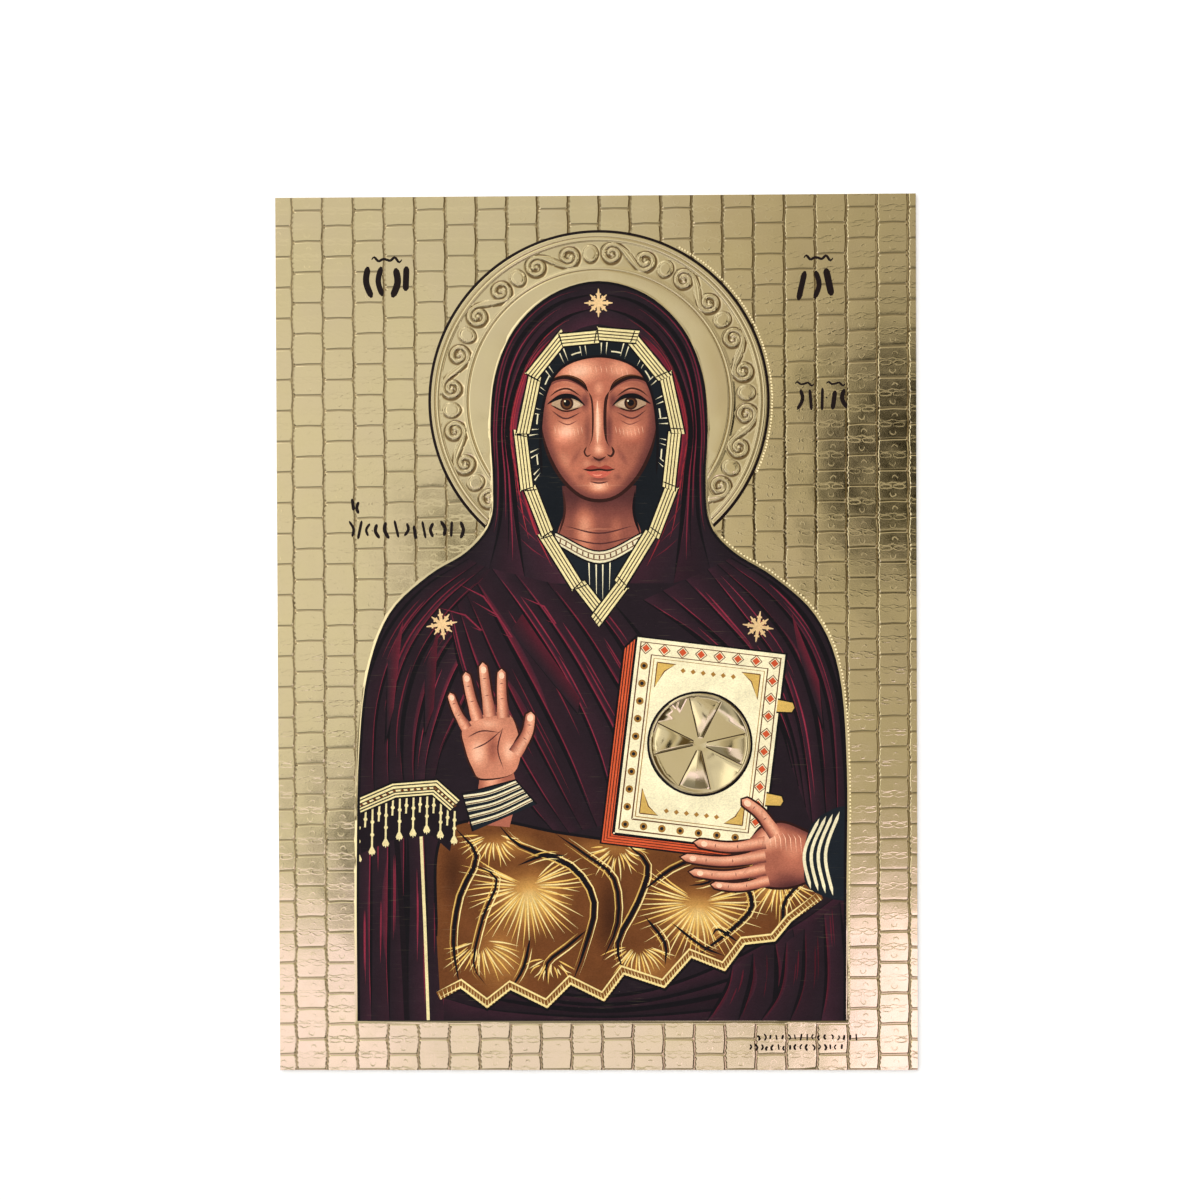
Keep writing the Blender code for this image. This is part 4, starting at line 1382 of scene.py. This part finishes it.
def picture_lap(art):
    """The ochre robe over the knees, with its gold hatching and cornered hem."""
    hem = np.array(
        [
            (67, -79), (58, -86), (53, -92), (44, -93), (38, -101), (28, -97), (20, -106), (8, -102),
            (2, -110), (-8, -105), (-15, -112), (-26, -106.5), (-33, -112), (-41, -106), (-47, -109),
        ]
    )
    top = smooth(
        [
            (-48, -90), (-48, -66), (-43, -57), (-30, -55.5), (-12, -59), (8, -62), (32, -66), (52, -66.5),
            (64, -70),
        ]
    )
    robe = np.vstack([top, hem])
    tones = (
        (0.0, srgb(50, 27, 15)), (0.32, srgb(104, 60, 30)), (0.56, srgb(150, 98, 48)),
        (0.8, srgb(204, 154, 80)), (1.0, SUN),
    )
    art.patch(robe, lambda spots: ramp(tones, np.clip(cloth_light(spots), 0, 1)), GILT, grain=1.1)
    dice = np.random.default_rng(31)
    for centre, start, stop, reach, count in (
        ((-21, -75), 150, 400, 20, 44), ((30, -80), 140, 385, 20, 42), ((-31, -59.5), 185, 350, 11, 18),
        ((54, -72), 190, 350, 15, 22), ((6, -63), 185, 355, 11, 18), ((-35, -91), 195, 350, 14, 20),
        ((12, -92), 200, 340, 12, 18), ((-14, -96), 200, 330, 9, 13),
    ):
        for number, angle in enumerate(np.radians(np.linspace(start, stop, count))):
            way = np.array((math.cos(angle), math.sin(angle) * 0.95))
            sag = np.array((-way[1], way[0])) * dice.uniform(-0.6, 0.6)
            begin, finish = dice.uniform(2.2, 4.5), reach * dice.uniform(0.72, 1.06)
            line = smooth(
                [centre + way * begin, centre + way * (begin + finish) / 2 + sag, centre + way * finish], 3,
            )
            line = line[inside(robe, line)]
            art.stroke(line, 0.48, SUN if number % 2 else STRAW * 1.25, GILT, ends=(0.3, 0.7))
    for line, width in (
        ([(-43, -57), (-36, -66), (-41, -78), (-43, -92), (-41, -106)], 1.2),
        ([(-30, -56), (-23, -63), (-8, -69), (-1, -80), (-4, -94), (-8, -105)], 1.4),
        ([(-13, -59), (-3, -66), (5, -73), (6, -86), (1, -98)], 0.9),
        ([(8, -62), (15, -69), (12, -80), (6, -92), (8, -102)], 1.3),
        ([(32, -66), (22, -70), (13, -77)], 1.0),
        ([(52, -67), (44, -72), (46, -81), (40, -88), (28, -97)], 1.2),
        ([(64, -71), (56, -79), (55, -86), (53, -92)], 1.0),
        ([(-38, -68), (-30, -73), (-34, -84), (-37, -98), (-33, -105)], 0.8),
        ([(-20, -90), (-22, -99), (-26, -106)], 0.9), ([(-9, -66), (-16, -66), (-24, -69)], 0.8),
        ([(34, -90), (36, -88), (42, -92)], 0.8), ([(-3, -88), (-9, -93), (-15, -98), (-15, -104)], 0.9),
        ([(14, -84), (20, -92), (20, -99)], 0.9), ([(22, -86), (31, -93), (38, -96)], 0.8),
        ([(38, -70), (33, -74), (27, -75)], 0.7),
    ):
        curve = smooth(line, 3)
        for offset in (-1.0, 1.1):
            art.stroke(
                shifted(curve, offset)[1:-1], 0.42, SUN if offset > 0 else STRAW, GILT, ends=(0.4, 0.6),
            )
        hops = evenly(curve, 13)
        reach = sideways(hops)
        for number in range(1, 12):
            side = -1 if number % 2 else 1
            foot = hops[number] + reach[number] * side * 1.2
            art.stroke(
                [foot, foot + reach[number] * side * 3.2 - (0, 1.3)], 0.36, STRAW * 1.15, GILT,
                ends=(0.1, 0.8),
            )
        art.stroke(curve, width, BLACK, ends=(0.3, 0.4))
    rim = mitred(hem, -2.6)
    art.patch(np.vstack([hem, rim[::-1]]), srgb(128, 82, 38), GILT)
    for start, stop, inner_start, inner_stop in zip(hem, hem[1:], rim, rim[1:]):
        for share in np.linspace(0.06, 0.94, max(3, int(math.dist(start, stop) / 1.05))):
            art.stroke(
                [between(start, stop, share), between(inner_start, inner_stop, share)], 0.36, SUN, GILT,
                ends=(0, 0.2),
            )
    art.stroke(rim, 0.6, SUN, GILT, ends=(0.02, 0.02))
    art.stroke(mitred(hem, -0.75), 0.7, SUN, GILT, ends=(0.02, 0.02))
    art.stroke(hem, 0.9, BLACK, ends=(0.02, 0.02))
    art.stroke(top, 0.9, BLACK, ends=(0.02, 0.02), least=0.5)


def picture_lower_mantle(art):
    """The mantle's drape under the robe and down both sides."""
    hem = [(-46, -84), (-40, -97), (-24, -104), (-4, -108), (16, -106), (38, -98), (60, -86), (74, -76)]
    foot = [(-46, -116), (-30, -116), (-14, -116), (4, -116), (22, -116), (44, -116), (60, -116), (74, -116)]
    fold_fan(art, hem, foot, (0, 0.3, 0.52, 0.76, 1.0), (NIGHT * 0.8, PLUM), seed=37, accent=None)
    for start, stop, seed in (((40, -99), (58, -88), 41), ((56, -92), (72, -80), 43)):
        left = [start, (start[0] - 2, -106), (start[0] - 8, -116)]
        right = [stop, (stop[0] + 2, -102), (stop[0] + 2, -116)]
        fold_fan(
            art, left, right, (0, 0.34, 0.7, 1), (NIGHT, PLUM), seed=seed, lit=0.12, accent=WINE * 0.55,
            rungs=False,
        )


BOOK_PLACE = (30.6, -32.8)
BOOK_TURN = math.radians(-7)
ROUNDEL = 15.0
ARM_HALF_ANGLE = math.radians(19)


def cross_arm(number, inset=0.0):
    """One flared arm of the roundel's cross, drawn about the roundel's own middle."""
    middle = number * TAU / 4 + math.pi / 2
    near, far = 1.9 + inset, 13.3 - inset
    side = ARM_HALF_ANGLE
    low = math.asin(min(inset / near, 0.9))
    high = math.asin(inset / far)
    angles = np.concatenate([[-side + low], np.linspace(-side + high, side - high, 9), [side - low]])
    radii = np.array([near, *[far] * 9, near])
    return (radii * np.array([np.cos(middle + angles), np.sin(middle + angles)])).T


def picture_book(art):
    """The closed book: jewelled cream cover, red page edge and a roundel of bare embossed foil."""
    def at(points):
        return placed(points, BOOK_PLACE, BOOK_TURN)

    wide, high = 22.4, 29.6
    side, foot = -wide - 3.4, -high - 3.2
    pages = [(side, foot), (wide - 1, foot), (wide, -high), (wide, high), (-wide, high), (side, high - 4)]
    art.patch(at(pages), VERMILION)
    for share in (0.25, 0.5, 0.75):
        leaf_side, leaf_foot = -wide - 3.4 * share, -high - 3.2 * share
        art.line(
            at([(leaf_side, high - 4 * share), (leaf_side, leaf_foot), (wide - share, leaf_foot)]), 0.34,
            BROWN,
        )
    art.line(at([*pages[4:], *pages[:3]]), 0.7, BLACK)
    cover = np.array([(-1, -1), (1, -1), (1, 1), (-1, 1), (-1, -1)])
    art.patch(at(cover[:4] * (wide, high)), CREAM)
    for inset, width, tone in ((0.0, 0.9, BLACK), (1.5, 0.45, UMBER), (5.0, 0.45, UMBER), (5.9, 0.3, OCHRE)):
        art.line(at(cover * (wide - inset, high - inset)), width, tone)
    spots = [(x, y) for x in np.linspace(-wide + 3.2, wide - 3.2, 8) for y in (-high + 3.2, high - 3.2)]
    spots += [
        (x, y)
        for y in np.linspace(-high + 3.2, high - 3.2, 11)[1:-1]
        for x in (-wide + 3.2, wide - 3.2)
    ]
    for number, (x, y) in enumerate(spots):
        if number % 2:
            art.patch(at(diamond((x, y), 1.2, 1.2)), VERMILION * 0.9)
            art.line(at([(x - 1.7, y), (x, y - 1.7), (x + 1.7, y), (x, y + 1.7), (x - 1.7, y)]), 0.34, UMBER)
        else:
            art.patch(at(disc((x, y), 1.15, 12)), OCHRE, GILT)
            art.patch(at(disc((x, y), 0.55, 9)), MIDNIGHT)
    for x in (-1, 1):
        for y in (-1, 1):
            corner = np.array((x * (wide - 7), y * (high - 7)))
            leaf = np.array([(0, 0), (-x * 5.5, 0), (-x * 2.4, -y * 2.4), (0, -y * 7.5)]) + corner
            art.patch(at(leaf), STRAW, GILT)
            art.line(at(looped(leaf)), 0.36, UMBER)
    for y in (-1, 1):
        for x in np.linspace(-7.5, 7.5, 6):
            art.patch(at(diamond((x, y * (high - 8.6)), 0.8, 0.8)), OCHRE)
    art.patch(disc(BOOK_PLACE, ROUNDEL + 0.7, 48), BLACK)
    for radius in (ROUNDEL, 14.82, 14.3, 14.08):
        art.patch(disc(BOOK_PLACE, radius, 48), FOIL, BARE)
    for number in range(4):
        for inset in (0.0, 0.26):
            art.patch(at(cross_arm(number, inset)), FOIL, BARE)
        for side in (-1, 1):
            middle = number * TAU / 4 + math.pi / 2
            angle = middle + side * (ARM_HALF_ANGLE + 0.012)
            line = [
                (2.1 * math.cos(angle), 2.1 * math.sin(angle)),
                (13.9 * math.cos(angle), 13.9 * math.sin(angle)),
            ]
            art.line(at(line), 0.34, srgb(60, 44, 22))
    for y in (-14, 14):
        tongue = np.array([(-1, -2), (3.6, -1.6), (4.4, 0), (3.6, 1.6), (-1, 2)])
        clasp = at(tongue + (wide, y))
        art.patch(clasp, STRAW, GILT)
        art.line(clasp, 0.5, BLACK)


def picture_holding_hand(art):
    """The left hand under the book's lower corner, its fingers along the edge."""
    top = smooth([(67, -61.4), (61.5, -58.4), (55.0, -56.0), (49.2, -57.2), (45.8, -60.5)])
    low = smooth([(46.4, -74.2), (52, -75.8), (58.5, -75.4), (66.5, -72.4)])
    back = np.vstack([top, low, top[:1]])

    def shade(spots):
        lit = 0.44 + 0.44 * glow(spots, (50.5, -61.0), (7.0, 5.5), 0.3)
        lit += 0.16 * glow(spots, (58, -64), (6, 6))
        round_off = 0.26 * (1 - ease(distance_to(back, spots), 0.0, 3.0))
        return flesh(lit - 0.24 * glow(spots, (57, -74), (9, 5)) - round_off)

    art.patch(np.vstack([top, low]), shade, grain=0.7)
    art.stroke(top, 0.75, BROWN * 0.5, ends=(0.05, 0.2))
    art.stroke(low, 0.75, BROWN * 0.5, ends=(0.2, 0.05))
    art.patch(
        smooth([(75, -52), (66, -54.5), (62.4, -60), (61.4, -68), (63, -76), (75, -79), (78, -66)], 5, True),
        MIDNIGHT,
    )
    for share in (0.0, 0.33, 0.66, 1.0):
        start, stop = between((66.0, -55), (72, -53), share), between((63.4, -76.0), (70, -78), share)
        art.curve([start, between(start, stop, 0.5) - (3.2, 0), stop], 0.95, CREAM * 0.9, ends=(0.1, 0.1))
    for number in range(7):
        x = 50.5 + number * 1.5
        art.stroke(
            [(x, -58.5 - number * 0.2), (x + 0.9, -61), (x + 1.2, -64 - number * 0.3)], 0.26, FLESH[4][1],
            ends=(0.4, 0.6),
        )
    for line, width in (
        ([(51, -73.6), (42, -75.4), (33.5, -74.6)], 3.3), ([(50, -70.2), (38.5, -72.0), (27.0, -70.8)], 3.6),
        ([(50, -66.2), (37.5, -67.8), (24.5, -66.4)], 3.8),
        ([(50, -62.2), (39.5, -63.6), (28.5, -62.0)], 3.8),
        ([(53, -60.0), (48.6, -53.6), (42.8, -49.2)], 4.2),
    ):
        finger(art, line, width, side=-1)


def build_picture():
    rim = mitred(np.vstack([FIGURE[-2:-1], FIGURE_RIM, FIGURE[1:2]]), -SHOULDER)[1:-2]
    art = Picture(rim, plain(FOIL), BARE)
    art.patch(FIGURE, NIGHT)
    picture_veil(art)
    picture_mantle(art)
    picture_inner_dress(art)
    picture_face(art)
    picture_trim(art)
    picture_lower_mantle(art)
    picture_lap(art)
    picture_fringe(art)
    picture_raised_hand(art)
    picture_book(art)
    picture_holding_hand(art)
    star(art, (1, 98.2), 4.2)
    star(art, (-46, 3), 4.6, 0.15)
    star(art, (48, 2), 4.6, -0.15)
    art.line(FIGURE, 1.6, BLACK)
    return art


def plate_height(spots):
    """The printed plate is flat but for the roundel's rim and the arms of its cross."""
    height = np.full(len(spots), PLATE_TOP)
    height[~inside(FIGURE, spots) & (distance_to(FIGURE_RIM, spots) > SHOULDER / 2)] = TILE_TOP - 0.03
    about = placed(spots - BOOK_PLACE, (0, 0), -BOOK_TURN)
    radius = np.hypot(*about.T)
    height[(radius < 14.9) & (radius > 14.2)] = ROUNDEL_RIM_TOP
    for number in range(4):
        height[inside(cross_arm(number, 0.25), about)] = CROSS_TOP
    return height


def printed_figure():
    """The raised plate that carries the printed figure."""
    places, faces, finishes, colours = build_picture().mesh()
    points = np.column_stack([places, plate_height(places)])
    figure = new_piece("printed_figure", points, faces, [PRINT_INK, GILT_INK, HALO_FOIL], finishes)
    layer = figure.data.color_attributes.new("paint", "FLOAT_COLOR", "CORNER")
    solid = np.concatenate([colours, np.ones((*colours.shape[:2], 1))], axis=2)
    layer.data.foreach_set("color", solid.ravel().astype(np.float32))
    close_below(figure, SUNK, INK)
    smooth_but_rims(figure)
    return dress(figure)


# Rows of dark strokes on the foil

def stroke_row(start, length, height, count, seed, weight):
    """Outlines of a row of upright, leaning and curved strokes that spell nothing."""
    dice = np.random.default_rng(seed)
    outlines = []
    for number in range(count):
        x = length * (number + 0.5) / count
        tall = height * dice.uniform(0.62, 1.0)
        base = dice.uniform(0, height - tall)
        slant = dice.uniform(-STROKE_LEAN, STROKE_LEAN) * tall
        bow = dice.choice([-1, 0, 1]) * min(tall * 0.28, length / count * 0.3)
        line = smooth([(x - slant, base), (x + bow, base + tall / 2), (x + slant, base + tall)], 5)
        outlines.append(thick(line, weight * dice.uniform(0.75, 1.2)))
        if dice.uniform() < 0.45 and length / count > weight * 2.6:
            level = base + tall * dice.uniform(0.15, 0.85)
            bar = smooth([(x + weight, level), (x + length / count * 0.4, level + tall * 0.05)], 2)
            outlines.append(thick(bar, weight * 0.6))
    return [outline + start for outline in outlines]


def squiggle(start, length, height, waves, weight):
    t = np.linspace(0, 1, waves * 8 + 1)
    line = np.column_stack([t * length, height * np.sin(t * waves * TAU) * (0.6 + 0.4 * np.cos(t * 7))])
    return [thick(line, weight) + start]


def thick(line, weight):
    share = np.linspace(0, 1, len(line))
    half = weight / 2 * np.sqrt(np.clip(np.minimum(share, 1 - share) / 0.12, 0.12, 1))[:, None]
    side = sideways(line) * half
    return np.vstack([line + side, (line - side)[::-1]])


def photo_spot(x, y):
    """Where a place in the photo lies on the sheet."""
    return np.array((x - PHOTO_MIDDLE[0], PHOTO_MIDDLE[1] - y)) / PHOTO_PIXELS


def stroke_rows():
    """The rows and squiggles of dark strokes, each from its place and its sizes."""
    rows = []
    for kind, x, y, *sizes in (
        (stroke_row, 367, 297, 14.4, 9.4, 4, 51, 1.7), (squiggle, 375, 259, 9.0, 0.8, 3, 0.75),
        (stroke_row, 797, 302, 12.0, 9.6, 3, 56, 1.7), (squiggle, 806, 260, 8.6, 0.8, 3, 0.75),
        (stroke_row, 795, 412, 17.2, 6.8, 5, 57, 1.15), (squiggle, 797, 385, 5.6, 0.6, 2, 0.6),
        (squiggle, 828, 385, 5.6, 0.6, 2, 0.6), (stroke_row, 352, 513, 3.4, 4.8, 2, 58, 0.8),
        (stroke_row, 348, 538, 35.5, 5.6, 13, 59, 0.9), (stroke_row, 755, 1041, 31.0, 2.1, 17, 60, 0.56),
        (stroke_row, 747, 1051, 29.0, 2.0, 17, 61, 0.56),
    ):
        rows += kind(photo_spot(x, y), *sizes)
    points, faces = [], []
    for outline in rows:
        if area_of(outline) < 0:
            outline = outline[::-1]
        first, count = len(points), len(outline)
        points.extend((x, y, TILE_TOP + 0.07) for x, y in outline)
        points.extend((x, y, SEAM_FLOOR - 0.05) for x, y in outline)
        half = count // 2
        for i in range(half - 1):
            top = (first + i, first + i + 1, first + count - 2 - i, first + count - 1 - i)
            faces.extend([top, tuple(corner + count for corner in reversed(top))])
        for i in range(count):
            j = (i + 1) % count
            faces.append((first + i, first + count + i, first + count + j, first + j))
    rows = new_piece("stroke_rows", points, faces, [STROKE_INK])
    smooth_but_rims(rows)
    return dress(rows)


# Stage, light and camera

def stage():
    bpy.ops.mesh.primitive_plane_add(size=6, location=(0, 0, 0))
    floor = bpy.context.object
    floor.name = "floor"
    make = Finish("pale_floor")
    floor.data.materials.append(make.set(Base_Color=np.array((0.9, 0.9, 0.9)), Roughness=0.7))


def camera():
    data = bpy.data.cameras.new("camera")
    data.sensor_fit = "HORIZONTAL"
    data.angle = math.radians(CAMERA_ANGLE)
    viewer = bpy.data.objects.new("camera", data)
    bpy.context.scene.collection.objects.link(viewer)
    viewer.location = Vector(CAMERA_PLACE) * MM
    viewer.rotation_euler = [math.radians(angle) for angle in CAMERA_TURN]
    bpy.context.scene.camera = viewer


def room_light():
    """An even pale room, with what the foil mirrors laid out by direction."""
    world = bpy.data.worlds.new("room")
    bpy.context.scene.world = world
    world.use_nodes = True
    make = Nodes(world.node_tree)
    way = make.add("ShaderNodeSeparateXYZ")
    make.join(make.add("ShaderNodeTexCoord").outputs["Generated"], way.inputs[0])
    upwards = make.math("MAXIMUM", way.outputs["Z"], 0.02)
    slopes = [make.math("DIVIDE", way.outputs[axis], upwards) for axis in "XY"]
    turns = [make.math("ARCTANGENT", slope) for slope in slopes]
    shares = [make.between(turn, -math.pi / 2, math.pi / 2) for turn in turns]
    sides = make.ramp(shares[0], [(0.5 + angle / 180, tone) for angle, tone in LIGHT_ACROSS])
    heights = make.ramp(shares[1], [(0.5 + angle / 180, tone) for angle, tone in LIGHT_UP])
    light = make.mix(1.0, sides, heights, "MULTIPLY")
    for x, y, wide, high, tone in PATCHES:
        parts = [
            make.math("POWER", make.math("DIVIDE", make.math("SUBTRACT", slope, middle), reach), 6.0)
            for slope, middle, reach in ((slopes[0], x, wide), (slopes[1], y, high))
        ]
        share = make.between(make.math("ADD", *parts), 0.25, 1.6, 1.0, 0.0)
        light = make.mix(share, light, tone)
    light = make.mix(make.between(way.outputs["Z"], 0.36, 0.48, 1.0, 0.0), light, HORIZON)
    make.join(light, world.node_tree.nodes["Background"].inputs["Color"])
    data = bpy.data.lights.new("soft_fill", "SUN")
    data.energy = 2.0
    data.angle = math.radians(70)
    fill = bpy.data.objects.new("soft_fill", data)
    bpy.context.scene.collection.objects.link(fill)
    fill.rotation_euler = [math.radians(angle) for angle in FILL_TURN]
    fill.visible_glossy = False
    bpy.context.scene.view_settings.view_transform = "Standard"


foil_sheet()
halo_relief()
bead_rows()
printed_figure()
stroke_rows()
stage()
camera()
room_light()
